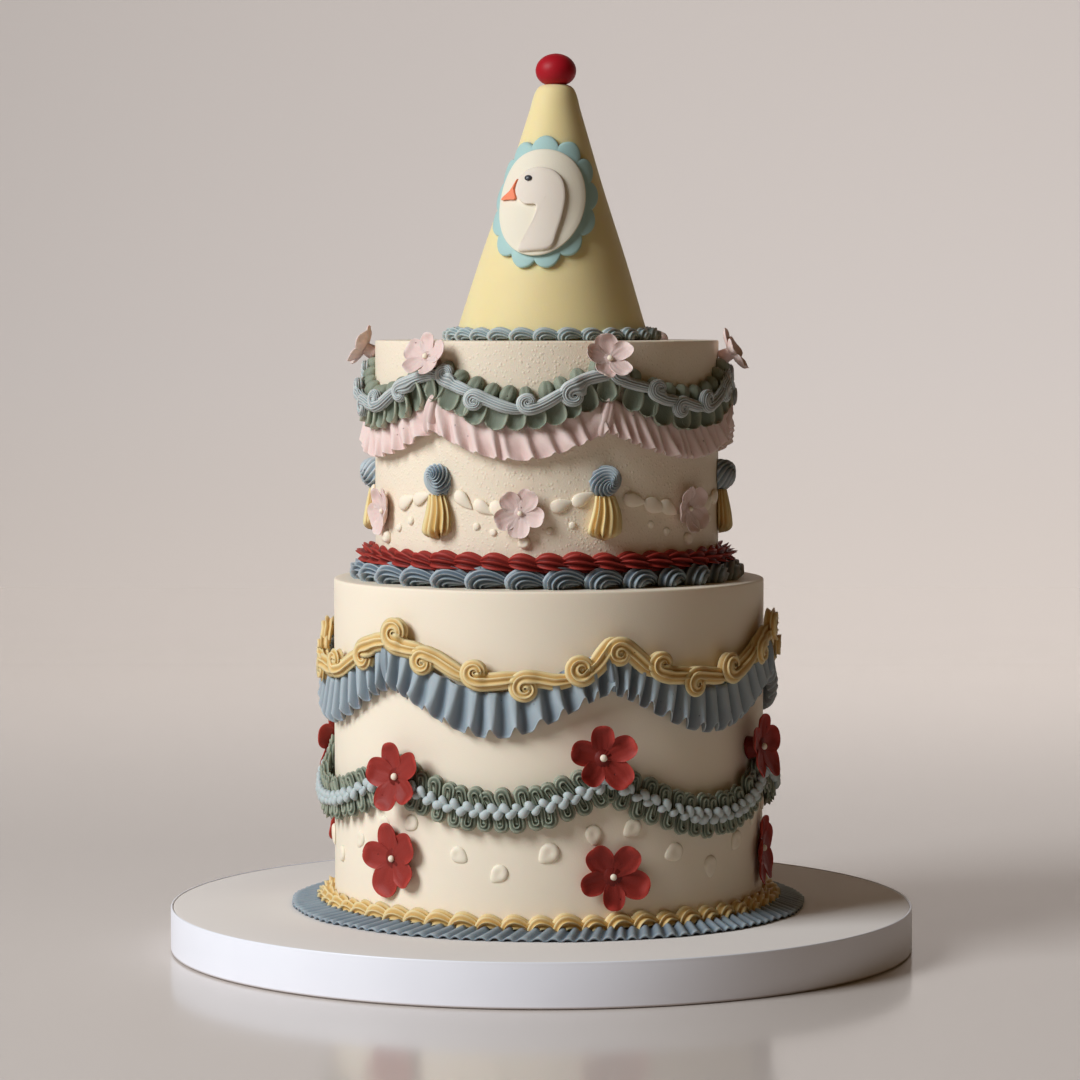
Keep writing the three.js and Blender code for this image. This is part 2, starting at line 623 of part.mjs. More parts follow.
// Head and neck in profile, looking left: the back of the head and neck down the right
// side, the chest, the throat under the head, and the face
const GOOSE_OUTLINE = [
  [1.4, 18.6], [6.4, 16.6], [10.6, 11.4], [12.8, 3], [12.4, -6], [10.4, -15], [7.6, -22.6],
  [0, -24.4], [-6.6, -24], [-3.4, -17.4], [-1.4, -9], [-0.8, -1.6], [-5.6, -0.8], [-8.8, 2], [-10.2, 6],
  [-9.4, 11], [-6.8, 15.6], [-3, 18.2],
];
const GOOSE_MIDDLE = [4, 3];
const BEAK_OUTLINE = [[-9.7, 11.6], [-11.2, 7], [-9.8, 1.8], [-16.8, 1.2], [-17.2, 2], [-12.8, 6.2]];
const EYE = { x: -4.4, y: 12, radius: 1.4 };

function buildPlaque() {
  const { halfWidth, halfHeight, scallops, bump } = PLAQUE;
  const plate = ovalOutline(halfWidth, halfHeight, scallops * 4, scallops, bump);
  const plateRings = [[1, 1], [0.7, 2], [0.35, 4]];
  const plateFront = PLAQUE.back + PLAQUE.thickness;
  put(cake, 'plaque_scallop', wrapped(plate, [0, 0], plateRings, PLAQUE.back, plateFront), 'aqua');

  const oval = ovalOutline(OVAL.halfWidth, OVAL.halfHeight, 28);
  const ovalRings = [[1, 1], [0.72, 2], [0.36, 2]];
  const ovalBack = plateFront + PLAQUE.gap;
  const ovalFront = ovalBack + OVAL.thickness;
  put(cake, 'plaque_oval', wrapped(oval, [0, 0], ovalRings, ovalBack, ovalFront), 'oval');

  const gooseRings = [[1, 1], [0.55, 1]];
  const reliefBack = ovalFront + PLAQUE.gap;
  const gooseFront = reliefBack + GOOSE.thickness;
  put(cake, 'goose', wrapped(GOOSE_OUTLINE, GOOSE_MIDDLE, gooseRings, reliefBack, gooseFront), 'goose');
  const beak = wrapped(BEAK_OUTLINE, [-12, 4], [[1, 1]], reliefBack, reliefBack + 1.2);
  put(cake, 'goose_beak', beak, 'beak');
  const eye = roundOutline(EYE.radius, 6).map(([x, y]) => [EYE.x + x, EYE.y + y]);
  const eyePiece = wrapped(eye, [EYE.x, EYE.y], [[1, 1]], gooseFront + 0.1, gooseFront + 0.6);
  put(cake, 'goose_eye', eyePiece, 'eye', 0.3);
}

buildStand();
buildBottomTier();
buildTopTier();
buildBorders();
buildTopSwags();
buildBottomSwags();
buildFlowers();
buildTassels();
buildHat();
buildPlaque();

export default cake;
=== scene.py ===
# %% [markdown]
# # A piped celebration cake
#
# This lesson dresses a two-tier iced cake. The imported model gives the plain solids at
# their real size. Here each one gets the surface that a decorator's hand leaves: ridged
# shells, folded ruffles, curled ropes and flowers of buttercream.
#
# Sizes are in millimetres until a mesh is made. The front of the cake looks along -Y,
# and angles round it are in degrees from the front, growing towards +X.

# %% Load the frame
import math
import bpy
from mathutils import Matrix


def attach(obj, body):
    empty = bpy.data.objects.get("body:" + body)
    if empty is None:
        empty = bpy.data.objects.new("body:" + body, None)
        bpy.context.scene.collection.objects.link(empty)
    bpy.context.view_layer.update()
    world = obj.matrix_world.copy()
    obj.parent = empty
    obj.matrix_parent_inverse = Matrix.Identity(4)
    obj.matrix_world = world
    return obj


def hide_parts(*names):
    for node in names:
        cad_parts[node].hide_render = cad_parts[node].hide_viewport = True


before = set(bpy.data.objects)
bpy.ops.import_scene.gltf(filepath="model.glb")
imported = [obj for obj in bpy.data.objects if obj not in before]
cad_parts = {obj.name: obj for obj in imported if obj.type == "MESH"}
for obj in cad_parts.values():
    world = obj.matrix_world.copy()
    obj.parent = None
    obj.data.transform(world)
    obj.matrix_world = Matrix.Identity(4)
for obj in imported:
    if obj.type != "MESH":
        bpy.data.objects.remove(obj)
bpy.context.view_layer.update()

from types import SimpleNamespace

import bpy
import numpy as np
from mathutils import Euler, Matrix, Vector

MM = 0.001
FULL_TURN = 2.0 * np.pi
ANY_PHASE = (0, 6.28)

# %% [markdown]
# ## The tiers and their swags
#
# Every piece of piping is placed by where it sits on a tier: how far round, how far out
# from the wall, and how high. The cake was marked out by hand, so the peaks that the
# swags hang from are not quite evenly spaced. A short list of angles, the same as in the
# solids, holds them, and a place along the swags is counted from peak to peak.

# %% Tiers and peaks
SWAGS = 6


class Tier:
    """One round tier: where its axis is, its wall, foot and top, and its swags' peaks."""

    def __init__(self, x, radius, foot, top, peaks):
        self.x, self.radius, self.foot, self.top = x, radius, foot, top
        self.peaks = np.array(peaks + [peaks[0] + 360.0])

    def angle(self, along):
        """The angle at a place counted in swags: 1.5 is the middle of the second one."""
        swag = np.floor(along)
        index = swag.astype(int) % SWAGS
        start = self.peaks[index] + 360.0 * np.floor(swag / SWAGS)
        return start + np.diff(self.peaks)[index] * (along - swag)


BOTTOM = Tier(3.3, 102.9, 20.9, 177.85, [-103.0, -43.0, 15.5, 75.0, 135.0, 196.0])
TOP = Tier(2.6, 82.1, 177.85, 291.3, [-98.0, -37.0, 18.4, 83.0, 142.0, 202.0])


def hang(along):
    """How low a swag hangs: 0 at its peaks and 1 in its middle."""
    return np.abs(np.sin(np.pi * along))


def smooth_step(low, high, value):
    """0 below the low value, 1 above the high one and a smooth rise between them."""
    t = np.clip((value - low) / (high - low), 0.0, 1.0)
    return t * t * (3.0 - 2.0 * t)


def to_peak(along):
    """How far the nearest peak is, counted in swags."""
    part = along - np.floor(along)
    return np.minimum(part, 1.0 - part)


def off_peak(along):
    """0 behind the flower on a peak, and 1 clear of it."""
    return smooth_step(6.0, 15.0, 60.0 * to_peak(along))


def wobble(along, seed, scale):
    """A slow unevenness that closes on itself after one round of the cake."""
    draw = np.random.default_rng(seed)
    turn = FULL_TURN * along / SWAGS
    total = np.zeros_like(turn)
    for cycles in (5, 11, 17, 29, 41):
        total += draw.normal() * np.sin(cycles * turn + draw.uniform(*ANY_PHASE))
    return scale * total / 2.2


for tier_name, tier in (("bottom", BOTTOM), ("top", TOP)):
    print(tier_name, "tier:", 2 * tier.radius, "mm across,", round(tier.top - tier.foot, 1), "mm high")

# %% [markdown]
# ## From numbers to meshes
#
# Nearly all piping is a section that travels along a path, so one helper joins rings of
# points into a closed skin. It could be done with curves and bevels, but rings made in
# NumPy let the section change its width, depth and ridges at every step. A closed skin
# is turned outwards by the sign of its volume, which never guesses wrong.

# %% Skins
def skin(rings, closed=False, crest_and_shade=0.5):
    """A closed surface through rings of points: (points, quads, triangles, level), where the
    level sets the painted highlight and shade of each point.
    """
    count, sides, _ = rings.shape
    index = np.arange(count * sides).reshape(count, sides)
    here = index if closed else index[:-1]
    there = np.roll(index, -1, axis=0) if closed else index[1:]
    quads = np.stack([here, there, np.roll(there, -1, 1), np.roll(here, -1, 1)], -1).reshape(-1, 4)
    points = rings.reshape(-1, 3)
    level = np.broadcast_to(crest_and_shade, (count, sides)).ravel()
    triangles = np.zeros((0, 3), dtype=int)
    if not closed:
        first, last = count * sides, count * sides + 1
        points = np.vstack([points, rings[0].mean(axis=0), rings[-1].mean(axis=0)])
        level = np.append(level, [level[:sides].mean(), level[-sides:].mean()])
        start = np.stack([index[0], np.roll(index[0], -1), np.full(sides, first)], -1)
        end = np.stack([np.roll(index[-1], -1), index[-1], np.full(sides, last)], -1)
        triangles = np.vstack([start, end])
    return outward(points, quads, triangles, level)


def outward(points, quads, triangles, level):
    """Turns every face round if the volume inside them comes out below zero."""
    corners = np.vstack([quads[:, [0, 1, 2]], quads[:, [0, 2, 3]], triangles])
    a, b, c = (points[corners[:, i]] for i in range(3))
    if np.einsum("ij,ij->i", a, np.cross(b, c)).sum() < 0:
        quads, triangles = quads[:, ::-1], triangles[:, ::-1]
    return points, quads, triangles, level


def through(ring, places, crest_and_shade=0.5):
    """A skin through the rings (x, y, z) that a function gives for each place."""
    return skin(np.array([np.stack(np.broadcast_arrays(*ring(place)), -1) for place in places]), crest_and_shade=crest_and_shade)


def round_angles(sides):
    """The angles of one full round, in radians."""
    return np.linspace(0, FULL_TURN, sides, endpoint=False)


def joined(shapes):
    """Several skins in one, each still closed on its own."""
    points, quads, triangles, levels, base = [], [], [], [], 0
    for shape_points, shape_quads, shape_triangles, shape_levels in shapes:
        points.append(shape_points)
        quads.append(shape_quads + base)
        triangles.append(shape_triangles + base)
        levels.append(shape_levels)
        base += len(shape_points)
    return np.vstack(points), np.vstack(quads), np.vstack(triangles), np.concatenate(levels)


def moved(shape, place):
    """The shape turned and moved by a 4x4 matrix in millimetres."""
    turn = np.array(place)
    return (shape[0] @ turn[:3, :3].T + turn[:3, 3], *shape[1:])


# %% Objects and places
def linked(name, data):
    """A new object in the scene."""
    made = bpy.data.objects.new(name, data)
    bpy.context.scene.collection.objects.link(made)
    return made


def make_object(name, shape):
    """A smooth-shaded mesh object, with its level of painted highlight and shade as an attribute."""
    points, quads, triangles, level = shape
    mesh = bpy.data.meshes.new(name)
    mesh.from_pydata((points * MM).tolist(), [], quads.tolist() + triangles.tolist())
    # The level paints highlight on ridges and rims and shade in grooves, pockets and undersides
    mesh.attributes.new("crest_and_shade", "FLOAT", "POINT").data.foreach_set("value", level.astype(np.float32))
    mesh.shade_smooth()
    return linked(name, mesh)


def on_wall(tier, degrees, out, height):
    """Points at an angle round a tier, out from its wall, at a height."""
    a = np.radians(degrees)
    r = tier.radius + out
    return np.stack(np.broadcast_arrays(tier.x + r * np.sin(a), -r * np.cos(a), height), axis=-1)


def spin_about(axis, degrees):
    return Matrix.Rotation(math.radians(degrees), 4, axis)


def spot(tier, degrees, out, height, spin, tilt=0.0):
    """The place of a thing made flat, facing +Z: it faces out of the wall, spun and tilted up."""
    facing = spin_about("Z", degrees) @ spin_about("X", 90.0 - tilt)
    return Matrix.Translation(on_wall(tier, degrees, out, height)) @ facing @ spin_about("Z", spin)


# %% [markdown]
# ## Icing
#
# Buttercream is a dull, slightly waxy paste. Its colour is a little uneven, and small air
# bubbles pit its surface. Its ridges and rims get a painted highlight in the colour, and its
# grooves, pockets, undersides and bubble pits get painted shade.
# Each piece could have a material of its own, but one family does all of them, because
# only the colours and the strength of the bubbles change. The maths of a shader reads
# best as a Python expression, so a small class wraps a socket and adds a Math node for
# each operator.

# %% Shader maths
class Wire:
    """A node's output that can be used in a Python expression."""

    def __init__(self, tree, socket):
        self.tree = tree
        self.socket = socket

    def maths(self, operation, *values):
        node = self.tree.nodes.new("ShaderNodeMath")
        node.operation = operation
        for slot, value in zip(node.inputs, values):
            feed(self.tree, slot, value)
        return Wire(self.tree, node.outputs[0])

    def __add__(self, other):
        return self.maths("ADD", self, other)

    __radd__ = __add__

    def __mul__(self, other):
        return self.maths("MULTIPLY", self, other)

    __rmul__ = __mul__

    def __sub__(self, other):
        return self.maths("SUBTRACT", self, other)

    def __rsub__(self, other):
        return self.maths("SUBTRACT", other, self)

    def above(self, edge):
        return self.maths("GREATER_THAN", self, edge)

    def other(self, index):
        """Another output of the same node."""
        return Wire(self.tree, self.socket.node.outputs[index])


def feed(tree, socket, value):
    """Links a wire to a socket, or sets the socket's own value."""
    if isinstance(value, Wire):
        tree.links.new(value.socket, socket)
    else:
        socket.default_value = value


class Finish:
    """A material with one Principled shader. The slot it is given is not used."""

    def __init__(self, name, slot=None, **constants):
        self.material = bpy.data.materials.new(name)
        self.material.use_nodes = True
        self.tree = self.material.node_tree
        self.place = self.add("ShaderNodeTexCoord", out=3)
        self.paint(**constants)

    def add(self, kind, settings=None, sockets=None, out=0):
        """Any node: its type, its settings, then the values or links of its sockets."""
        node = self.tree.nodes.new(kind)
        for label, value in (settings or {}).items():
            setattr(node, label, value)
        for label, value in (sockets or {}).items():
            feed(self.tree, node.inputs[label], value)
        return Wire(self.tree, node.outputs[out])

    def noise(self, per_metre, detail):
        sockets = {"Vector": self.place, "Scale": per_metre, "Detail": detail}
        return self.add("ShaderNodeTexNoise", None, sockets)

    def height(self):
        return self.add("ShaderNodeSeparateXYZ", None, {"Vector": self.place}, out=2)

    def mix(self, factor, first, second):
        return self.add("ShaderNodeMix", {"data_type": "RGBA"}, {0: factor, 6: first, 7: second}, out=2)

    def ramp(self, value, start, end, kind="LINEAR"):
        """0 before start, 1 after end and a rise between them. It may also fall."""
        return self.add("ShaderNodeMapRange", {"interpolation_type": kind},
                        {"Value": value, "From Min": start, "From Max": end})

    def dots(self, per_metre, share, size):
        """Round dots at random: how many cells have one, and its size as a part of a cell."""
        cells = self.add("ShaderNodeTexVoronoi", None, {"Vector": self.place, "Scale": per_metre})
        chosen = self.add("ShaderNodeSeparateColor", None, {"Color": cells.other(1)})
        return self.ramp(cells, size, 0.3 * size, "SMOOTHSTEP") * chosen.above(1.0 - share)

    def bump(self, height, strength, distance):
        sockets = {"Height": height, "Strength": strength, "Distance": distance}
        return self.add("ShaderNodeBump", None, sockets)

    def paint(self, **values):
        """Sets or links sockets of the shader itself."""
        for label, value in values.items():
            feed(self.tree, self.tree.nodes["Principled BSDF"].inputs[label.replace("_", " ")], value)
        return self.material


# %% Colours
def tone(red, green, blue):
    """A colour given as it shows on a screen, 0 to 255, as the light values Blender uses."""
    values = []
    for channel in (red, green, blue):
        c = channel / 255.0
        values.append(c / 12.92 if c <= 0.04045 else ((c + 0.055) / 1.055) ** 2.4)
    return values[0], values[1], values[2], 1.0


# %% The icing family
def icing(name, slot, light, deep, roughness=0.5, bubbles=0.16, specks=0.0, sugar=0.5):
    """Piped icing with small air bubbles.

    The light tone is painted as a highlight on ridges and rims, and the deep tone as shade in
    grooves, pockets and undersides. The bubble pits are painted dark as shade too.
    """
    finish = Finish(name, slot, Subsurface_Weight=0.1, Subsurface_Scale=0.003, Specular_IOR_Level=0.22)
    crest_and_shade = finish.add("ShaderNodeAttribute", {"attribute_name": "crest_and_shade"}, out=2)
    blotch = finish.noise(60.0, 3.0)
    grain = finish.noise(1700.0, 2.0)
    pit = finish.dots(330.0, share=bubbles, size=0.16)
    height = sugar * grain - 2.2 * pit
    if specks:
        height = height + specks * (finish.dots(560.0, share=0.8, size=0.45)
                                    + 1.3 * finish.dots(330.0, share=0.2, size=0.3))
    # Painted highlight and shade: the light tone on ridges and rims, the deep tone in grooves and undersides;
    # a quarter of the mix is random mottling
    colour = finish.mix(crest_and_shade * 0.75 + blotch * 0.25, tone(*deep), tone(*light))
    # Painted shade in the bubble pits: the deep tone, made much darker
    pit_shade = tuple(0.25 * c for c in tone(*deep)[:3]) + (1.0,)
    return finish.paint(Base_Color=finish.mix(pit * 0.7, colour, pit_shade),
                        Roughness=roughness + 0.12 * blotch - 0.06, Normal=finish.bump(height, 0.6, 0.0004))


# The first tone of each icing is its painted highlight, the second its painted shade
IVORY = icing("ivory icing", "ivory_icing", (249, 236, 215), (246, 231, 209), 0.55, 0.0, sugar=0.25)
IVORY_TOP = icing("ivory icing, bubbly", "ivory_icing", (244, 229, 207), (240, 224, 200), 0.55, 0.0, 0.5)
PINK = icing("pink icing", "pink_icing", (240, 218, 210), (214, 180, 172))
RED = icing("brick red icing", "red_icing", (186, 67, 57), (86, 18, 15), bubbles=0.1)
BLUE = icing("dusty blue icing", "blue_icing", (186, 198, 203), (68, 85, 102))
SWIRL_BLUE = icing("pale dusty blue icing", "blue_icing", (204, 214, 216), (106, 126, 142))
PALE_BLUE = icing("pale blue icing", "pale_blue_icing", (204, 213, 210), (118, 136, 140), bubbles=0.05)
GREY = icing("grey-blue icing", "grey_icing", (224, 227, 222), (124, 135, 138), 0.48, 0.05)
GREEN = icing("grey-green icing", "green_icing", (180, 187, 166), (58, 69, 56), bubbles=0.12, sugar=0.8)
GOLD = icing("golden icing", "gold_icing", (250, 231, 181), (197, 150, 67), bubbles=0.05)
DEEP_GOLD = icing("deep golden icing", "gold_icing", (250, 232, 178), (196, 148, 62), 0.48, 0.02)
BEAD = icing("bead icing", "bead_icing", (204, 212, 210), (176, 188, 190), 0.45, 0.02, sugar=0.2)
print("icing materials:", len(bpy.data.materials))

# %% [markdown]
# ## Settling a piece
#
# A finished piece needs three facts: its material, the body it rides on, and the plain solids
# that it takes the place of. One helper says all three, so that no piece can miss one.

# %% Settle
def settle(made, finish, *nodes):
    """Gives a piece its material and body, and hides the solids it stands for."""
    made.data.materials.clear()
    made.data.materials.append(finish)
    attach(made, "root")
    if nodes:
        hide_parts(*nodes)
    print(made.name, len(made.data.polygons), "faces")


def piece(name, shape, finish, *nodes):
    settle(make_object(name, shape), finish, *nodes)


# %% [markdown]
# ## Copies on marked points
#
# Beads, dots, petals and loops are one small shape set down many times. Joining copies in
# Python would do, but Geometry Nodes keep the rule visible and easy to change: the points
# carry how each copy is turned and sized, and the tree adds a small random unevenness,
# makes the copies real and gives them their material.

# %% The copies tree
def new_tree(name, *extra_inputs):
    """A tree that sets down copies of a shape.

    It gives the tree, a maker of nodes, the inputs, the shape and a random size near 1.
    """
    tree = bpy.data.node_groups.new(name, "GeometryNodeTree")
    for label, kind in (("Geometry", "Geometry"), ("Copy", "Object"), *extra_inputs,
                        ("Uneven", "Float"), ("Seed", "Int"), ("Finish", "Material")):
        tree.interface.new_socket(label, in_out="INPUT", socket_type="NodeSocket" + kind)
    tree.interface.new_socket("Geometry", in_out="OUTPUT", socket_type="NodeSocketGeometry")

    def add(kind, settings=None, sockets=None):
        node = tree.nodes.new(kind)
        for label, value in (settings or {}).items():
            setattr(node, label, value)
        for label, value in (sockets or {}).items():
            if isinstance(value, bpy.types.NodeSocket):
                tree.links.new(value, node.inputs[label])
            else:
                node.inputs[label].default_value = value
        return node

    given = add("NodeGroupInput").outputs
    shape = add("GeometryNodeObjectInfo", None, {"Object": given["Copy"]}).outputs["Geometry"]
    low = add("ShaderNodeMath", {"operation": "SUBTRACT"}, {0: 1.0, 1: given["Uneven"]})
    high = add("ShaderNodeMath", {"operation": "ADD"}, {0: 1.0, 1: given["Uneven"]})
    size = add("FunctionNodeRandomValue", {"data_type": "FLOAT"},
               {2: low.outputs[0], 3: high.outputs[0], "Seed": given["Seed"]}).outputs[1]
    return tree, add, given, shape, size


def end_tree(add, given, placed):
    """Makes the copies real and gives them their material."""
    real = add("GeometryNodeRealizeInstances", None, {0: placed.outputs[0]})
    painted = add("GeometryNodeSetMaterial", None, {"Geometry": real.outputs[0], "Material": given["Finish"]})
    add("NodeGroupOutput", None, {0: painted.outputs[0]})


def build_copies_tree():
    tree, add, given, shape, uneven = new_tree("copies on marked points")
    turn = add("GeometryNodeInputNamedAttribute", {"data_type": "FLOAT_VECTOR"}, {"Name": "turn"})
    size = add("GeometryNodeInputNamedAttribute", {"data_type": "FLOAT_VECTOR"}, {"Name": "size"})
    scale = add("ShaderNodeVectorMath", {"operation": "SCALE"}, {0: size.outputs[0], "Scale": uneven})
    points = add("GeometryNodeMeshToPoints", None, {"Mesh": given["Geometry"]})
    end_tree(add, given, add("GeometryNodeInstanceOnPoints", None, {
        "Points": points.outputs[0], "Instance": shape, "Rotation": turn.outputs[0],
        "Scale": scale.outputs[0]}))
    return tree


# %% Running a tree
def baked(name, host, tree, values):
    """Runs a tree on an object and keeps the result as a plain mesh object."""
    modifier = host.modifiers.new("tree", "NODES")
    modifier.node_group = tree
    sockets = {item.name: item.identifier for item in tree.interface.items_tree if item.in_out == "INPUT"}
    for label, value in values.items():
        modifier[sockets[label]] = value
    bpy.context.view_layer.update()
    ready = host.evaluated_get(bpy.context.evaluated_depsgraph_get())
    mesh = bpy.data.meshes.new_from_object(ready)
    mesh.name = name
    mesh.shade_smooth()
    made = linked(name, mesh)
    for spare in (host, values["Copy"]):
        bpy.data.objects.remove(spare)
    return made


COPIES = build_copies_tree()


def copies(name, shape, places, finish, uneven, seed, *nodes, sizes=1.0):
    """A piece made of copies of a shape, set on places (matrices in mm)."""
    mesh = bpy.data.meshes.new(name + " marks")
    mesh.from_pydata([tuple(place.translation * MM) for place in places], [], [])
    sizes = [[size] * 3 for size in np.broadcast_to(sizes, len(places))]
    for label, rows in (("turn", [place.to_euler() for place in places]), ("size", sizes)):
        marks = mesh.attributes.new(label, "FLOAT_VECTOR", "POINT")
        marks.data.foreach_set("vector", [value for row in rows for value in row])
    values = {"Copy": make_object(name + " copy", shape), "Uneven": uneven, "Seed": seed, "Finish": finish}
    settle(baked(name, linked(name + " marks", mesh), COPIES, values), finish, *nodes)


# %% [markdown]
# ## The stand
#
# The cake stands on a thick round board, painted a warm grey-white, with a thin white
# band round its edge. A real board is never a sharp cylinder: its edges are softened,
# and the band stands a hair proud. A cylinder with a bevel would come close, but a turned
# profile, closed on the axis, gives each edge its own small radius.

# %% Turned profiles
def turned(profile, centre_x, sides, lean=lambda height: 0.0):
    """A closed turned shape from (radius, height) pairs that start and end near the axis."""
    a = round_angles(sides)

    def ring(place):
        radius, height = place
        return centre_x + lean(height) + radius * np.sin(a), -radius * np.cos(a), height

    return through(ring, profile)


def rounded(corner_radius, corner_height, radius, quarter, steps=6):
    """Points round a quarter circle: quarter 0 goes from the foot up, 1 over the top."""
    start = -90.0 + 90.0 * quarter
    angles = np.radians(np.linspace(start, start + 90.0, steps))
    return [(corner_radius + radius * math.cos(a), corner_height + radius * math.sin(a)) for a in angles]


# %% The board and its band
STAND_RADIUS = 178.0
STAND_TOP = BOTTOM.foot
ROUND_SIDES = 360
BAND = 1.0
FIT = 0.05

core = STAND_RADIUS - BAND - FIT
board_profile = [(0.5, 0.0), *rounded(core - 0.6, 0.6, 0.6, 0),
                 *rounded(core - 0.8, STAND_TOP - 0.8, 0.8, 1),
                 (core * 0.8, STAND_TOP), (core * 0.4, STAND_TOP), (0.5, STAND_TOP)]
# How far in from the stand's edge, and the height, going up the outside of the band
BAND_SECTION = [(BAND, 0.5), (0.25, 0.5), (0, 0.9), (0.1, 1.5), (0, 2.1), (0, 19.6), (0.1, 20.1), (0, 20.6),
                (0.2, 21.15), (0.6, 21.2), (BAND, 21.05)]
band_rings = np.array([[((STAND_RADIUS - inset) * math.sin(a), -(STAND_RADIUS - inset) * math.cos(a), z)
                        for inset, z in BAND_SECTION] for a in round_angles(ROUND_SIDES)])

# %% Paint for the stand
painted = Finish("painted board", "stand", Specular_IOR_Level=0.04)
cloud = painted.noise(9.0, 4.0)
painted.paint(Base_Color=painted.mix(cloud, tone(236, 228, 222), tone(245, 239, 233)),
              Roughness=0.6 + 0.16 * cloud, Normal=painted.bump(painted.noise(900.0, 2.0), 0.15, 0.0003))

edging = Finish("white edge band", "stand_band", Specular_IOR_Level=0.5)
cloud = edging.noise(30.0, 3.0)
# Painted shade along the foot of the band, where it meets the table
foot_shade = 1.0 - edging.ramp(edging.height(), 0.0006, 0.0016)
band_tone = edging.mix(cloud, tone(243, 243, 250), tone(249, 249, 255))
edging.paint(Base_Color=edging.mix(foot_shade * 0.8, band_tone, tone(150, 128, 110)), Roughness=0.3 + 0.15 * cloud)

piece("stand_board", turned(board_profile, 0.0, ROUND_SIDES), painted.material, "board")
piece("stand_band", skin(band_rings, closed=True), edging.material, "board_band")

# %% [markdown]
# ## The iced tiers
#
# Each tier is a drum of smoothed buttercream. A scraper leaves its wall almost true, but
# not quite: it wavers by a tenth of a millimetre or two, and the top edge is crisp with
# only a small round. A displacement texture could do that, but a few long waves in the
# mesh are enough, and the bubbles are in the material.

# %% Tier drums
WAVER = 0.0009


def drum(tier, edge, seed):
    """An iced tier with a rounded top edge and a wall that wavers a little."""
    draw = np.random.default_rng(seed)
    a = round_angles(ROUND_SIDES)
    profile = [(0.5, tier.foot), (tier.radius * 0.6, tier.foot), (tier.radius - 0.1, tier.foot)]
    profile += [(tier.radius, z) for z in np.linspace(tier.foot + 1.0, tier.top - edge, 40)]
    profile += rounded(tier.radius - edge, tier.top - edge, edge, 1, 7)[1:]
    profile += [(tier.radius * share, tier.top) for share in (0.96, 0.9, 0.7, 0.4)] + [(0.5, tier.top)]
    waves = [(k, draw.normal() * 0.5, draw.uniform(*ANY_PHASE), draw.uniform(-0.03, 0.03))
             for k in (2, 3, 5, 7, 11)]

    def ring(place):
        radius, z = place
        bow = sum(size * np.sin(k * a + phase + slant * z) for k, size, phase, slant in waves)
        r = radius * (1.0 + WAVER * bow * (radius / tier.radius) ** 8)
        return tier.x + r * np.sin(a), -r * np.cos(a), z

    return through(ring, profile)


piece("tier_bottom_icing", drum(BOTTOM, 1.1, 3), IVORY, "tier_bottom")
piece("tier_top_icing", drum(TOP, 0.9, 4), IVORY_TOP, "tier_top")

# %% [markdown]
# ## Piped shells
#
# A star tip held still swells into a round head. Pulled away, it thins to a tail that the
# next shell covers. The tip's teeth leave ridges that run from head to tail. One shell is
# made as rings along its length, with the ridges cut into each ring, because a bump alone
# would look flat at the edge of the cake. A second tree then sets it round a circle, so
# that count, radius and unevenness stay numbers that can be changed.

# %% The section of a star tip
def star(teeth, depth, start=-28.0, end=208.0, per_tooth=5, back=5, narrow=0.8):
    """The section that a star tip leaves: angles, how far out each point lies, and its ridge
    level, which also sets the painted highlight on the ridges and painted shade in the grooves.

    A closed star presses narrow crests with wide grooves between them. Only the part of
    the section that shows is ridged.
    """
    share = np.linspace(0.0, 1.0, teeth * per_tooth + 1)
    wave = 1.0 - np.abs(np.sin(np.pi * teeth * share)) ** narrow
    behind = np.linspace(end, start + 360.0, back + 2)[1:-1]
    around = np.radians(np.append(start + (end - start) * share, behind))
    # The hidden back of the section gets the deep tone: painted shade
    crest_and_shade = np.append(wave, np.zeros(back))
    return around, 1.0 - depth * (1.0 - crest_and_shade), crest_and_shade


# %% Two kinds of shell, and a lean
SHELL_STEPS = np.linspace(0.0, 1.0, 17)


def shell(length, width, height, teeth, depth=0.34, tail=0.5):
    """A shell along +Y: its head at the start, its outer side at +X and its foot at z = 0.

    The rings fan round a centre at the foot, so the ridges rise at the head, bend over
    and run down to the tail. The innermost ones curl close round that centre.
    """
    around, relief, crest_and_shade = star(teeth, depth, -36.0, 212.0)

    def ring(s):
        fan = math.radians(204.0 - 186.0 * s)
        size = (0.5 + 0.5 * min(s / 0.25, 1.0) ** 0.5) * (1.0 - (1.0 - tail) * smooth_step(0.4, 1.0, s))
        arc = 0.5 * height * size
        rho = arc + np.maximum(arc * relief * np.cos(around), -0.9 * arc)
        stretch = length / height * (0.44 + 0.2 * smooth_step(-0.6, 0.9, math.cos(fan)))
        lifted = rho * math.sin(fan) + 0.12 * height * s ** 2
        out = width * size * (0.22 + 0.78 * relief * np.sin(around)) - 0.5 * width
        along = rho * math.cos(fan) * stretch + 0.16 * length * smooth_step(0.3, 1.0, s)
        return np.maximum(out, -0.6 * width), along, np.maximum(lifted, 0.0)

    return through(ring, SHELL_STEPS, crest_and_shade)


def long_shell(length, width, height, teeth, depth):
    """A shell pulled out along +Y: its ridges run from end to end and meet there."""
    around, relief, crest_and_shade = star(teeth, depth, -40.0, 200.0)

    def ring(s):
        size = max(0.08, math.sin(math.pi * s ** 0.72) ** 0.85)
        middle = height * (0.44 - 0.34 * s ** 2)
        up = middle + 0.55 * height * size * relief * np.cos(around)
        out = 0.95 * width * size * relief * np.sin(around) - 0.4 * width
        return np.maximum(out, -0.6 * width), length * (s - 0.45), np.maximum(up, 0.0)

    return through(ring, SHELL_STEPS, crest_and_shade)


def leaned(shape, slope):
    """Tips a shell so that its outer side drops, as a row that lies on another row does."""
    points = shape[0]
    return (points - slope * points[:, :1] * np.array([0.0, 0.0, 1.0]), *shape[1:])


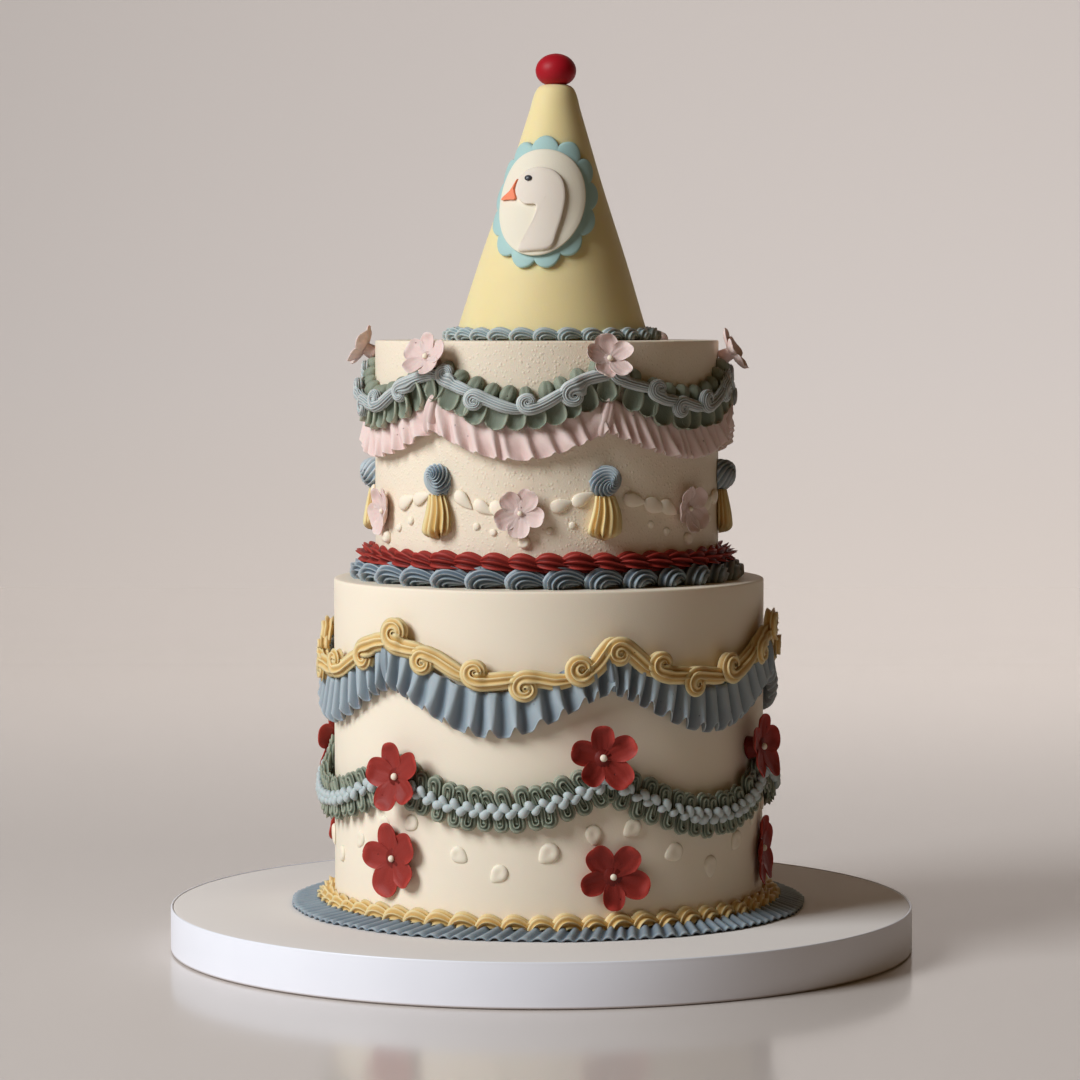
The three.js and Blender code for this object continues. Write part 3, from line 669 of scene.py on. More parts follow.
# %% The ring tree
def build_ring_tree():
    tree, add, given, shape, uneven = new_tree("copies round a circle", ("Count", "Int"), ("Radius", "Float"),
                                               ("Centre", "Vector"))
    circle = add("GeometryNodeMeshCircle", None, {"Vertices": given["Count"], "Radius": given["Radius"]})
    step = add("ShaderNodeMath", {"operation": "DIVIDE"}, {0: FULL_TURN, 1: given["Count"]})
    index = add("GeometryNodeInputIndex")
    angle = add("ShaderNodeMath", {"operation": "MULTIPLY"}, {0: index.outputs[0], 1: step.outputs[0]})
    sway = add("FunctionNodeRandomValue", {"data_type": "FLOAT"}, {2: -0.05, 3: 0.05, "Seed": given["Seed"]})
    turn = add("ShaderNodeCombineXYZ", None, {"X": sway.outputs[1], "Z": angle.outputs[0]})
    placed = add("GeometryNodeInstanceOnPoints", None, {
        "Points": circle.outputs[0], "Instance": shape, "Rotation": turn.outputs[0], "Scale": uneven})
    end_tree(add, given, add("GeometryNodeTransform", None, {
        "Geometry": placed.outputs[0], "Translation": given["Centre"]}))
    return tree


# %% [markdown]
# Four rows of shells go round the cake. They differ only in the size of their shells, so
# a short list names them: how many shells, the radius of the row, where its middle is,
# and the shell itself. The red row lies on the blue one, and its shells are pulled out
# long and lean over it.

# %% The shell borders
RING = build_ring_tree()
HAT_X = 4.9
BORDERS = [
    ("hat_shells", "hat_border", 27, 49.2, (HAT_X, 0, TOP.top), PALE_BLUE,
     shell(17.0, 6.6, 6.8, 7)),
    ("blue_shells", "blue_border", 30, 88.6, (TOP.x, 0, BOTTOM.top), BLUE,
     shell(28.0, 12.6, 11.2, 9, 0.3, 0.4)),
    ("red_shells", "red_border", 41, 86.6, (TOP.x, 0, BOTTOM.top + 7.4), RED,
     leaned(long_shell(21.5, 9.8, 10.2, 6, 0.42), -0.1)),
    ("gold_shells", "gold_border", 55, 107.4, (BOTTOM.x, 0, STAND_TOP), GOLD,
     shell(19.0, 9.0, 10.8, 7)),
]
for seed, (name, node, count, radius, centre, finish, shape) in enumerate(BORDERS):
    values = {"Copy": make_object(name + " copy", shape), "Count": count, "Radius": radius * MM,
              "Centre": tuple(Vector(centre) * MM), "Uneven": 0.06, "Seed": seed, "Finish": finish}
    host = linked(name + " host", bpy.data.meshes.new(name + " host"))
    settle(baked(name, host, RING, values), finish, node)

# %% [markdown]
# ## The pleated ruffle on the board
#
# Under the gold shells a flat blue ruffle lies on the board. It is a thin band of icing
# from a petal tip, pushed into pleats that lean over each other. Seen from the edge it
# is a zigzag. Cloth could be simulated, but icing keeps the folds it is given, so one
# formula for the pleats and a closed band with many steps come closer.

# %% A sheet of icing
def sheet(fronts, backs, levels):
    """A thick sheet round the cake, from rows of points down its front and its back."""
    rings = np.array(fronts + backs[::-1]).transpose(1, 0, 2)
    return skin(rings, closed=True, crest_and_shade=np.array(levels).T)


# %% The base ruffle
PLEATS = 122
PLEAT_STEPS = 12


def base_ruffle():
    """A flat band of pleats on the board, with a thin zigzag edge."""
    turn = np.arange(PLEATS * PLEAT_STEPS) / (PLEATS * PLEAT_STEPS)
    along = turn * SWAGS
    phase = FULL_TURN * PLEATS * turn + wobble(along, 21, 0.9)
    top, foot, levels = [], [], []
    for v in (0.0, 0.14, 0.3, 0.46, 0.62, 0.78, 0.92, 1.0):
        local = phase + 5.2 * v
        fold = 0.5 + 0.5 * np.cos(local - 0.35 * np.sin(local))
        rise = 2.9 - 2.4 * v + (2.0 - 0.5 * v) * (1.0 + wobble(along, 23, 0.12)) * fold
        out = 7.6 + 12.9 * v + wobble(along, 22, 0.35) * v
        top.append(on_wall(BOTTOM, 360.0 * turn, out, STAND_TOP + rise))
        foot.append(on_wall(BOTTOM, 360.0 * turn, out - 0.3 * v, STAND_TOP + np.maximum(rise - 0.85, 0.05)))
        # Painted highlight on the tops of the pleats and the outer rim; the underside rows get painted shade
        levels.append(0.5 * fold + 0.3 * (v > 0.9))
    return sheet(top, foot, levels + [0.0 * fold] * len(foot))


piece("base_ruffle_pleats", base_ruffle(), BLUE, "base_ruffle")

# %% [markdown]
# ## Hanging ruffles
#
# The pink and the blue ruffle are sheets of icing, attached along a curve and pushed into
# flutes that open towards the hem. Near the top the crests are broad tubes with narrow
# pockets between them. Further down the pockets widen and the hem turns out a little. It
# could be a flat sheet with a wave on it, but one formula lets the flutes change their
# number from swag to swag, as a hand changes its rhythm.

# %% Ruffles
FLUTE_STEPS = 20


def ruffle(tier, flutes, top, hem, near, far, fold, lean, slant, rise, uneven, start, seed, thickness=1.2):
    """A fluted sheet round a tier, from its top line down to its hem.

    `flutes` gives the number of folds in each swag. They begin at the share `start` of
    its depth and lie across the swag. `near` and `far` say how far out the sheet lies at
    its top and its hem. The hem is highest under the top of a fold, so the pockets hang lower.
    """
    steps = sum(flutes) * FLUTE_STEPS
    along = np.arange(steps) / steps * SWAGS
    count = np.interp(along, np.arange(SWAGS + 1), np.cumsum([0] + flutes))
    pitch = FULL_TURN * tier.radius / sum(flutes)
    slope = np.gradient(hem(along), np.radians(tier.angle(along)) * tier.radius)
    slope *= smooth_step(0.0, 0.16, to_peak(along))
    phase = FULL_TURN * (count + wobble(along, seed, uneven))
    depth = fold * (1.0 + wobble(along, seed + 1, uneven))
    length = top(along) - hem(along)
    fronts, backs, levels = [], [], []
    for v in (0.0, 0.1, 0.22, 0.36, 0.5, 0.63, 0.75, 0.85, 0.93, 0.98, 1.0):
        local = phase - FULL_TURN * slant * v
        wave = 1.0 - 2.0 * np.abs(np.sin(0.5 * (local - 0.3 * np.cos(local)))) ** (4.2 - 2.6 * v)
        open_by = max(0.0, (v - start) / (1.0 - start)) ** 0.8
        out = near + (far - near) * v ** 0.8 + depth * open_by * wave
        out = out + 0.5 * fold * (0.5 - 0.5 * wave) * v ** 5
        side = lean * slope * length * v + 0.1 * pitch / FULL_TURN * np.sin(2 * local) * open_by
        degrees = tier.angle(along) + np.degrees(side / tier.radius)
        end = hem(along + side / (FULL_TURN * tier.radius / SWAGS))
        low = top(along) + (end - top(along)) * v + rise * (0.5 + 0.5 * np.cos(local)) ** 3.2 * v ** 3
        fronts.append(on_wall(tier, degrees, np.maximum(out, 0.9), low))
        backs.append(on_wall(tier, degrees, np.maximum(out - thickness * (1.0 - 0.4 * v), 0.1), low + 0.15))
        # Painted highlight on the tops of the folds and on the rim of the hem, painted shade in the pockets
        levels.append(0.25 + 0.32 * (1.0 + wave) + 0.3 * (v > 0.97))
    return sheet(fronts, backs, levels + levels[::-1])


def pink_hem(g):
    return 249.5 - 13.0 * hang(g)


def blue_hem(g):
    return 131.0 - 20.0 * hang(g) ** 1.35


pink = ruffle(TOP, [11, 10, 16, 12, 14, 13], lambda g: pink_hem(g) + 17.0, pink_hem, near=2.6, far=5.4,
              fold=2.3, lean=0.15, slant=0.9, rise=1.4, uneven=0.22, start=0.0, seed=31, thickness=2.2)
blue = ruffle(BOTTOM, [14, 12, 14, 13, 12, 13], lambda g: blue_hem(g) + 21.0, blue_hem, near=3.4, far=4.6,
              fold=3.1, lean=0.4, slant=0.0, rise=4.6, uneven=0.06, start=-0.5, seed=41)

# %% [markdown]
# ## Leaf ruffle
#
# Behind the scroll rope the top tier wears a grey-green ruffle: a row of small round
# petals below and a row of smaller bumps above. Each is a tongue of icing, cupped and
# thick in the middle. They could be cut from one sheet as the other ruffles are, but here
# the petals overlap, so one is modelled and the copies tree hangs it along the swag.

# %% Petals and bumps of icing
def thick_ring(x, y, z, thickness):
    """A ring across the front of a petal and back across its underside."""
    front = np.stack(np.broadcast_arrays(x, y, z), -1)
    back = front - np.outer(thickness, (0.0, 0.0, 1.0))
    return np.vstack([front, back[::-1]])


def tongue(width, length, cup, thickness, curl, steps=11, sides=11):
    """A cupped tongue along +Y, facing +Z, from a narrow base to a round tip."""
    across = np.linspace(-1.0, 1.0, sides)
    rings, levels = [], []
    for t in np.sin(np.linspace(0.0, 0.5 * np.pi, steps)):
        taper = (0.8 + 0.2 * smooth_step(0.0, 0.5, t)) * math.sqrt(max(0.0, 1.0 - t ** 7))
        edge = np.maximum(np.abs(across), smooth_step(0.75, 1.0, t))
        height = cup * across ** 2 * (0.4 + 0.6 * t) + curl * t ** 2 + 0.3 * thickness
        along = length * t * (1.0 - 0.05 * across ** 2)
        rings.append(thick_ring(0.5 * width * max(0.05, taper) * across, along, height,
                                thickness * (1.0 - 0.5 * edge ** 2)))
        # Painted highlight on the raised rim, painted shade in the cup
        levels.append(np.tile(0.25 + 0.75 * edge ** 4, 2))
    return skin(np.array(rings), crest_and_shade=np.array(levels))


def knob(width, length, height, steps=12, sides=20):
    """A round bump along +Y with a soft crease down its middle."""
    around = round_angles(sides)

    def ring(t):
        size = math.sin(math.pi * t) ** 0.4
        x = 0.5 * width * size * np.cos(around)
        crease = 0.3 * height * np.exp(-((x / width - 0.06) / 0.1) ** 2) * size
        above = height * size * np.sin(around) - crease
        return x, length * (t - 0.5), np.where(np.sin(around) > 0, above, 0.3 * height * np.sin(around))

    # A middle level all over, between painted highlight and painted shade
    return through(ring, 0.5 - 0.5 * np.cos(np.pi * np.linspace(0.06, 0.94, steps)), 0.55)


# %% Places along a swag
def swag_places(tier, per_swag, height, out, spin, seed, jitter, start=0.5, roll=0.0):
    """Places that follow the swags; height and out are functions of the place along."""
    draw = np.random.default_rng(seed)
    places = []
    for i in range(SWAGS * per_swag):
        along = (i + start) / per_swag + draw.normal() * 0.06 / per_swag
        before, after = along - 0.01, along + 0.01
        run = math.radians(1.0) * (tier.angle(after) - tier.angle(before)) * tier.radius
        lean = math.degrees(math.atan((height(after) - height(before)) / run))
        place = spot(tier, tier.angle(along), out(along), height(along), spin + lean + draw.normal() * jitter)
        places.append(place @ spin_about("Y", roll + draw.normal() * jitter))
    return places


def leaf_line(g):
    return 275.5 - 14.0 * hang(g) ** 1.1


lower = swag_places(TOP, 11, lambda g: leaf_line(g) + 1.0, lambda g: 2.9 + 1.5 * off_peak(g), 180.0, 51, 5.0,
                    roll=12.0)
upper = swag_places(TOP, 10, lambda g: leaf_line(g) + 4.6, lambda g: 1.0 + 0.8 * off_peak(g), -12.0, 52, 9.0)
copies("leaf_petals_lower", tongue(10.8, 12.8, 2.2, 2.6, 0.3), lower, GREEN, 0.08, 5, "leaf_ruffle")
copies("leaf_petals_upper", knob(7.3, 9.6, 4.8), upper, GREEN, 0.08, 6, "leaf_ruffle")


# %% Folds on the peaks
def with_folds(ruffled, tier, height, shape, out, spin, shift, seed):
    """Where one swag's ruffle starts over the end of the last, a fold stands up."""
    draw = np.random.default_rng(seed)
    shapes = [ruffled]
    for i in range(SWAGS):
        degrees = tier.angle(i) + shift + draw.normal() * 0.5
        spun, rolled, raised = draw.normal() * 5.0, draw.normal() * 8.0, draw.normal() * 0.7
        place = spot(tier, degrees, out, height + raised, spin + spun) @ spin_about("Y", rolled)
        shapes.append(moved(shape, place))
    return joined(shapes)


pink = with_folds(pink, TOP, 257.0, knob(6.8, 19.0, 4.6, 14), 3.0, -16.0, -1.0, 33)
piece("pink_ruffle_folds", pink, PINK, "pink_ruffle")
blue = with_folds(blue, BOTTOM, 142.0, knob(5.6, 20.0, 4.4, 14), 3.6, 6.0, 0.2, 43)
piece("blue_ruffle_folds", blue, BLUE, "blue_ruffle")

# %% [markdown]
# ## Ropes with curls
#
# The grey and the gold rope are one long line of scrolls. Each scroll starts as a small
# spiral, above or below the line, and its tail runs on to the next one. A curve with a
# bevel would twist in such tight turns, so a ridged section is swept along a path drawn
# on the unrolled wall: first the spiral, then the tail. The ridges then wind round in the
# spiral by themselves, as they do in real piping.

# %% Paths
def eased(path, times):
    """Rounds the corners of a path: each point moves towards its neighbours."""
    for _ in range(times):
        path[1:-1] = 0.25 * path[:-2] + 0.5 * path[1:-1] + 0.25 * path[2:]
    return path


def leftward(path):
    """The direction to the left of a flat path at each of its points."""
    heading = np.gradient(path, axis=0)
    heading /= np.linalg.norm(heading, axis=1)[:, None]
    return np.stack([-heading[:, 1], heading[:, 0]], -1)


def scroll_path(tier, line, start, end, side, coil, tight, turns, sway, steps=28):
    """Points (along the wall, height) of one scroll, and the centre of its spiral.

    A scroll above the line turns left and leaves at its foot; one below turns right and
    leaves at its top. The tail then crosses the line, so the rope weaves up and down.
    """
    scale = math.radians(1.0) * tier.radius
    t = np.linspace(0.0, 1.0, steps)
    sweep = np.radians(side * (-90.0 - 360.0 * turns * (1.0 - t)))
    radius = coil * (tight + (1.0 - tight) * t)
    centre = np.array([tier.angle(start) * scale, line(start) - side * sway + side * coil])
    g = np.linspace(start, end, steps)[1:]
    tail_v = line(g) - side * sway * np.cos(np.pi * (g - start) / (end - start))
    path = np.stack([np.append(centre[0] + radius * np.cos(sweep), tier.angle(g) * scale),
                     np.append(centre[1] + radius * np.sin(sweep), tail_v)], -1)
    return eased(path, 3), steps, centre


# %% One scroll
def scroll(tier, path, coiled, centre, half, thin, base, section):
    """Sweeps the star section along a path on the unrolled wall.

    In the curl the inner half of the section ends at its centre and stays high, so that
    the ridges fan out from there and no hole is left. The curl also stands a little
    prouder than the tail, while its back stays where it was.
    """
    around, relief, crest_and_shade = section
    count = len(path)
    side = leftward(path)
    spiral = np.clip(np.arange(count) / coiled, 0, 1)
    tail = np.clip((np.arange(count) - coiled) / (count - coiled), 0, 1)
    width = half * (thin + (1.0 - thin) * spiral ** 0.8) * (1.0 - 0.5 * smooth_step(0.4, 1.0, tail))
    width[0] *= 0.6
    width[-1] *= 0.5
    coil_part = 1.0 - smooth_step(0.0, 0.2, tail)
    lift = half * (0.55 - 0.3 * spiral) * coil_part
    raised = base + 0.6 * width - 0.9 * smooth_step(0.6, 1.0, tail) + lift
    up = np.sin(around)
    rings = []
    for i in range(count):
        reach = width[i] * relief * np.cos(around)
        inner = reach * ((centre - path[i]) @ side[i]) > 0
        room = np.linalg.norm(centre - path[i])
        reach = np.where(inner, reach * (1.0 + (1.12 * room / width[i] - 1.0) * coil_part[i]), reach)
        bulge = np.where(inner & (up >= 0), np.maximum(up, 0.9 * coil_part[i]), up)
        out = raised[i] + (0.8 * width[i] * relief + np.where(up < 0, lift[i], 0.0)) * bulge
        u, v = path[i, 0] + reach * side[i, 0], path[i, 1] + reach * side[i, 1]
        rings.append(on_wall(tier, np.degrees(u / tier.radius), np.maximum(out, 0.15), v))
    return skin(np.array(rings), crest_and_shade=crest_and_shade)


# %% A rope of scrolls
def curled_rope(tier, curls, line, half, coil, thin, sway, base, section, seed, tight=0.45, turns=0.82):
    """A rope of scrolls right round a tier, each running on into the next.

    `curls` lists, for two swags in turn, where each curl is, and its size: below 0 it
    hangs under the line. `thin` is how narrow the rope starts in the middle of a curl.
    """
    draw = np.random.default_rng(seed)
    places = [(swag + along, size) for swag in range(SWAGS) for along, size in curls[swag % 2]]
    shapes = []
    for i, (start, size) in enumerate(places):
        following = places[(i + 1) % len(places)][0] + (SWAGS if i + 1 == len(places) else 0)
        radius = coil * abs(size) * (1.0 + draw.normal() * 0.06)
        turn = turns + draw.normal() * 0.05
        path, coiled, centre = scroll_path(tier, line, start, following + 0.03, math.copysign(1.0, size),
                                           radius, tight, turn, sway)
        g = np.append(np.full(coiled, start), np.linspace(start, following + 0.03, len(path) - coiled))
        shapes.append(scroll(tier, path, coiled, centre, half * (1.0 + draw.normal() * 0.04), thin, base(g),
                             section))
    return joined(shapes)


# %% The two ropes
GOLD_STOPS = [0.0, 0.06, 0.15, 0.25, 0.35, 0.45, 0.55, 0.65, 0.76, 0.86, 0.94, 1.0]
GOLD_DROPS = [[0.0, 0.16, 0.62, 0.82, 0.94, 1.0, 1.0, 0.9, 0.62, 0.3, 0.1, 0.0],
              [0.0, 0.1, 0.26, 0.48, 0.78, 0.96, 0.95, 0.93, 1.0, 0.86, 0.5, 0.0]]


def scroll_line(g):
    return 276.3 - 15.4 * hang(g) ** 1.5


def gold_line(g):
    """The gold line is drawn by hand: it sinks differently in the two kinds of swag."""
    swag = np.floor(g)
    first, second = (np.interp(g - swag, GOLD_STOPS, drops) for drops in GOLD_DROPS)
    return 154.0 - 17.0 * np.where(swag % 2 == 0, first, second)


SCROLL_CURLS = [[(0.06, 1), (0.25, 1), (0.39, -1), (0.58, 1), (0.8, -1)],
                [(0.09, 1), (0.28, -1), (0.57, 1), (0.81, -1.25)]]
GOLD_CURLS = [[(0.03, -0.9), (0.22, 1), (0.39, -1), (0.6, 1), (0.86, -1)],
              [(0.045, 1.45), (0.19, -1.1), (0.43, 1), (0.64, -1.1), (0.87, 1)]]

scroll_rope = curled_rope(TOP, SCROLL_CURLS, scroll_line, half=2.9, coil=3.5, thin=0.55, sway=1.3,
                          base=lambda g: 3.0 + 3.0 * off_peak(g), section=star(8, 0.34, per_tooth=4), seed=81)
piece("scroll_rope_curls", scroll_rope, GREY, "scroll_rope")
gold_rope = curled_rope(BOTTOM, GOLD_CURLS, gold_line, half=4.5, coil=4.2, thin=0.6, sway=1.0,
                        base=lambda g: 1.6, section=star(5, 0.52, narrow=1.1), seed=82)
piece("gold_rope_curls", gold_rope, GOLD, "gold_rope")

# %% [markdown]
# ## The green swag and its beads
#
# The lower swag was piped as a row of tight loops: the many-toothed tip goes up and comes
# down again, which leaves small nested arches above the line and the same arches below.
# It could be one endless rope like the last, but an arch hides where the next one begins,
# so one ridged arch is made and the copies tree repeats it. Down the middle run two rows
# of pale teardrop beads that lean away from each other like ears of wheat.

# %% An arch of ridged icing
def arch(gap, height, half, steps=22):
    """A star-tip tube that goes up, over and down again in the XY plane."""
    around, relief, crest_and_shade = star(4, 0.5, -15.0, 195.0, back=3)
    t = np.linspace(0.0, 1.0, steps)
    turn = np.pi * smooth_step(0.2, 0.8, t)
    climb = (height - 0.5 * gap) * np.clip(4.0 * np.minimum(t, 1.0 - t), 0.0, 1.0)
    path = eased(np.stack([-0.5 * gap * np.cos(turn), climb + 0.5 * gap * np.sin(turn)], -1), 2)
    side = leftward(path)

    def ring(i):
        size = half * (0.62 + 0.38 * math.sin(np.pi * t[i]))
        x, y = path[i][:, None] + side[i][:, None] * (size * relief * np.cos(around))
        return x, y, 0.95 * size * relief * np.sin(around) + 0.6 * (t[i] - 0.5)

    return through(ring, range(steps), crest_and_shade)


GREEN_DROPS = np.array([16.0, 13.5, 19.0, 16.0, 15.0, 17.0])
LOOPS = 15


def green_line(g):
    return 91.5 - GREEN_DROPS[np.floor(g).astype(int) % SWAGS] * hang(g)


def green_out(g):
    return 1.9 + 2.2 * off_peak(g)


loop = arch(2.7, 7.9, 3.0)
above = swag_places(BOTTOM, LOOPS, green_line, green_out, 12.0, 61, 6.0)
below = swag_places(BOTTOM, LOOPS, green_line, green_out, 186.0, 62, 6.0, start=0.95)
copies("green_loops_upper", loop, above, GREEN, 0.07, 7, "green_swag")
copies("green_loops_lower", loop, below, GREEN, 0.07, 8, "green_swag")


# %% Beads
def drop(length, width, height, point, steps=9, sides=10):
    """A teardrop of icing along +X: a round head, then a point, facing +Z."""
    around = round_angles(sides)

    def ring(t):
        head = math.sqrt(max(0.0, 1.0 - (1.0 - min(t / 0.36, 1.0)) ** 2))
        size = max(0.03, head * (1.0 - max(0.0, (t - 0.36) / 0.64) ** point))
        return (length * (t - 0.35), 0.5 * width * size * np.cos(around),
                height * size * (0.35 + 0.65 * np.sin(around)))

    return through(ring, np.linspace(0.0, 1.0, steps) ** 1.15)


BEADS = 19


def bead_out(g):
    return 4.4 + 2.0 * off_peak(g)


beads = swag_places(BOTTOM, BEADS, lambda g: green_line(g) + 1.7, bead_out, -38.0, 71, 9.0)
beads += swag_places(BOTTOM, BEADS, lambda g: green_line(g) - 1.6, bead_out, 38.0, 72, 9.0, start=1.0)
copies("bead_chain_beads", drop(6.9, 4.2, 2.7, 2.0), beads, BEAD, 0.12, 9, "bead_chain")

# %% [markdown]
# ## Flowers
#
# The flowers were piped petal by petal on a nail, dried and pressed on. Each has five
# petals round a pearl. A petal is wide and thin, cupped, with a raised rim and a crease
# down its middle. One petal could be copied five times, but no two are alike on a real
# flower, so every petal draws its own numbers.

# %% A petal
def petal_shape(radius, width, cup, rim, draw, steps=14, sides=19, thickness=0.8):
    """One petal along +Y: a neck at the middle of the flower, then a round paddle."""
    across = np.sin(np.linspace(-0.5 * np.pi, 0.5 * np.pi, sides))
    phase, lift, roll = draw.uniform(*ANY_PHASE), draw.normal() * 0.3, 0.5 + draw.normal() * 0.3
    fold = 0.25 + 0.35 * draw.uniform()
    crease = np.exp(-((across - 0.1) / 0.14) ** 2)
    rings, levels = [], []
    for q in np.linspace(0.0, 1.0, steps):
        t = 0.05 + 0.95 * math.sin(0.5 * math.pi * q)
        neck = 0.2 + 0.8 * math.sin(0.5 * math.pi * min(t / 0.58, 1.0)) ** 1.2
        paddle = max(0.0, 1.0 - (max(0.0, t - 0.5) / 0.5) ** 3) ** 0.42
        half = 0.5 * width * max(0.04, neck * paddle)
        edge = np.maximum(np.abs(across) * smooth_step(0.15, 0.5, t), smooth_step(0.6, 1.0, t)) ** 3
        wide = across * neck * paddle
        height = cup * t ** 1.5 + lift * t + rim * edge + roll * wide * t
        height = height - fold * crease * math.sin(math.pi * t)
        height = height + 0.09 * np.cos(13.0 * across + phase) * math.sin(math.pi * t)
        height = height + 0.4 * edge * np.sin(3.0 * wide + 3.0 * t + phase)
        rings.append(thick_ring(half * across, radius * t * (1.0 + 0.03 * across ** 2), height + thickness,
                                thickness * (1.0 - 0.45 * edge)))
        # Painted highlight on the rim, painted shade on the face of the petal
        levels.append(np.tile(0.5 + 0.5 * np.clip(edge, 0, 1) ** 2, 2))
    return skin(np.array(rings), crest_and_shade=np.array(levels))


# %% A whole flower and its pearl
def dab(radius, depth, steps=5, sides=16):
    """The dab of icing behind a flower that holds it on: it widens towards the wall."""
    around = round_angles(sides)

    def ring(t):
        r = radius * (1.0 + 0.35 * (1.0 - t))
        return r * np.cos(around), r * np.sin(around), 1.2 - (depth + 1.2) * (1.0 - t)

    # Painted shade: the dab under the flower takes mostly the deep tone
    return through(ring, np.linspace(0.0, 1.0, steps), 0.2)


def flower(radius, width, cup, rim, out, seed):
    """Five petals of their own shape round the middle, with a dab behind them."""
    draw = np.random.default_rng(seed)
    petals = [dab(0.26 * radius, max(0.3, out - 0.4))]
    for k in range(5):
        size = 1.0 + draw.normal() * 0.045
        petal = petal_shape(radius * size, width * size * (1.0 + draw.normal() * 0.05), cup, rim, draw)
        turn = spin_about("Z", 72.0 * k + draw.normal() * 4.0)
        petals.append(moved(petal, Matrix.Translation((0, 0, 0.1 * k)) @ turn))
    return joined(petals)


def pearl(radius, flat=0.8, steps=10, sides=16):
    """A slightly flattened ball, closed at its poles."""
    around = round_angles(sides)

    def ring(t):
        r = radius * math.sin(math.pi * t)
        return r * np.cos(around), r * np.sin(around), -radius * flat * math.cos(math.pi * t)

    return through(ring, np.linspace(0.05, 0.95, steps))


# %% Rows of flowers
# shape is a petal's width, cup and rim. The lists give, for each swag, the height, the
# shift round the wall in degrees and the turn
FLOWERS = {
    "pink_flower_upper": SimpleNamespace(
        tier=TOP, middle=0.0, finish=PINK, radius=11.0, out=5.6, tilt=28.0, shape=(10.2, 2.3, 1.2),
        pearl=1.4, z=[287, 283.5, 282.7, 285, 284, 286], shift=[0, -2.1, 0.4, 0, 0, 0],
        turn=[10, 0, 8, 0, 12, 0]),
    "pink_flower_mid": SimpleNamespace(
        tier=TOP, middle=0.5, finish=PINK, radius=11.2, out=0.6, tilt=0.0, shape=(10.4, 2.1, 1.2),
        pearl=1.2, z=[211, 212.4, 213, 211, 212, 212], shift=[0, 0.8, 1.9, 0, 0, 0],
        turn=[36, 38, 30, 36, 40, 36]),
    "red_flower_upper": SimpleNamespace(
        tier=BOTTOM, middle=0.0, finish=RED, radius=15.6, out=6.6, tilt=6.0, shape=(12.4, 1.6, 1.5),
        pearl=1.65, z=[94.5, 91.4, 102.5, 101, 96, 98], shift=[-7, 3.4, -2.6, -9.6, 0, 0],
        turn=[0, 12, 4, 0, 20, 8]),
    "red_flower_lower": SimpleNamespace(
        tier=BOTTOM, middle=0.0, finish=RED, radius=16.4, out=0.6, tilt=0.0, shape=(12.6, 1.0, 1.3),
        pearl=1.55, z=[51, 52.3, 47.3, 50, 49, 51], shift=[-7, -0.7, 0.8, 2.5, 0, 0],
        turn=[0, 14, 36, 10, 30, 4]),
}
PEARL_OUT = 1.9

pearl_places, pearl_sizes = [], []
for row_index, (name, row) in enumerate(FLOWERS.items()):
    for i in range(SWAGS):
        degrees = row.tier.angle(i + row.middle) + row.shift[i]
        place = spot(row.tier, degrees, row.out, row.z[i], row.turn[i], row.tilt)
        petals = flower(row.radius, *row.shape, row.out, 100 + 10 * row_index + i)
        piece(f"{name}_petals_{i + 1}", moved(petals, place), row.finish, f"{name}_{i + 1}")
        pearl_places.append(place @ Matrix.Translation((0, 0, PEARL_OUT)))
        pearl_sizes.append(row.pearl)
copies("flower_pearls", pearl(1.0), pearl_places, IVORY, 0.05, 11, sizes=pearl_sizes)

# %% [markdown]
# ## Tassels
#
# Under each peak of the top tier hangs a tassel: a swirled blue rosette over a golden
# drop. The rosette is a star-tip swirl, so its ridges turn round a middle point. The drop
# is a shell piped downwards, with its ridges running from top to bottom. Six are few
# enough to make each one on its own, so each gets its own swirl, turn and bend.

# %% Rosette and drop
def rosette(width, height, stand, swirl, arms=10, depth=0.1, steps=18, per_arm=7):
    """A star-tip swirl: its ridges wind up to a point that lies a little off the middle."""
    around = round_angles(arms * per_arm)
    # The ridge level also paints highlight on the ridges and shade in the grooves
    crest_and_shade = 1.0 - np.abs(np.sin(0.5 * arms * around)) ** 1.1

    def ring(t):
        size = max(0.02, math.cos(0.5 * math.pi * t) ** 0.7 if t < 1 else 0.0)
        r = size * (1.0 - (depth + 0.35 * t) * (1.0 - crest_and_shade))
        angle = around - swirl * t ** 1.3
        z = stand * math.sin(0.5 * math.pi * t) - 0.28 * stand * (1.0 - crest_and_shade) * math.sin(math.pi * t)
        return (0.5 * width * r * np.cos(angle) + 0.1 * width * t,
                0.5 * height * r * np.sin(angle) + 0.06 * height * t, np.maximum(z, 0.0))

    return through(ring, np.linspace(0.0, 1.0, steps), crest_and_shade)


def tassel_drop(width, height, stand, bend, teeth=7, steps=24):
    """A shell that hangs: ridges spread from under the rosette and end in points below."""
    around, relief, crest_and_shade = star(teeth, 0.3, -20.0, 200.0, 6)

    def ring(s):
        spread = 0.58 + 0.42 * math.sin(0.5 * math.pi * min(1.15 * s, 1.0))
        close = math.sqrt(max(0.0, 1.0 - max(0.0, (s - 0.76) / 0.24) ** 2.6))
        size = max(0.03, spread * close)
        x = 0.5 * width * size * relief * np.cos(around) + bend * math.sin(1.5 * math.pi * s)
        z = stand * size * relief * (0.4 + 0.6 * np.sin(around))
        shorter = 1.0 - 0.14 * (1.0 - crest_and_shade) * s * s - 0.06 * np.cos(around) ** 2 * s
        return x, 0.5 * height - height * s * shorter, np.maximum(z, 0.0)

    return through(ring, np.linspace(0.0, 1.0, steps), crest_and_shade)


ROSETTE_Z = 227.0
TASSEL_Z = 209.8

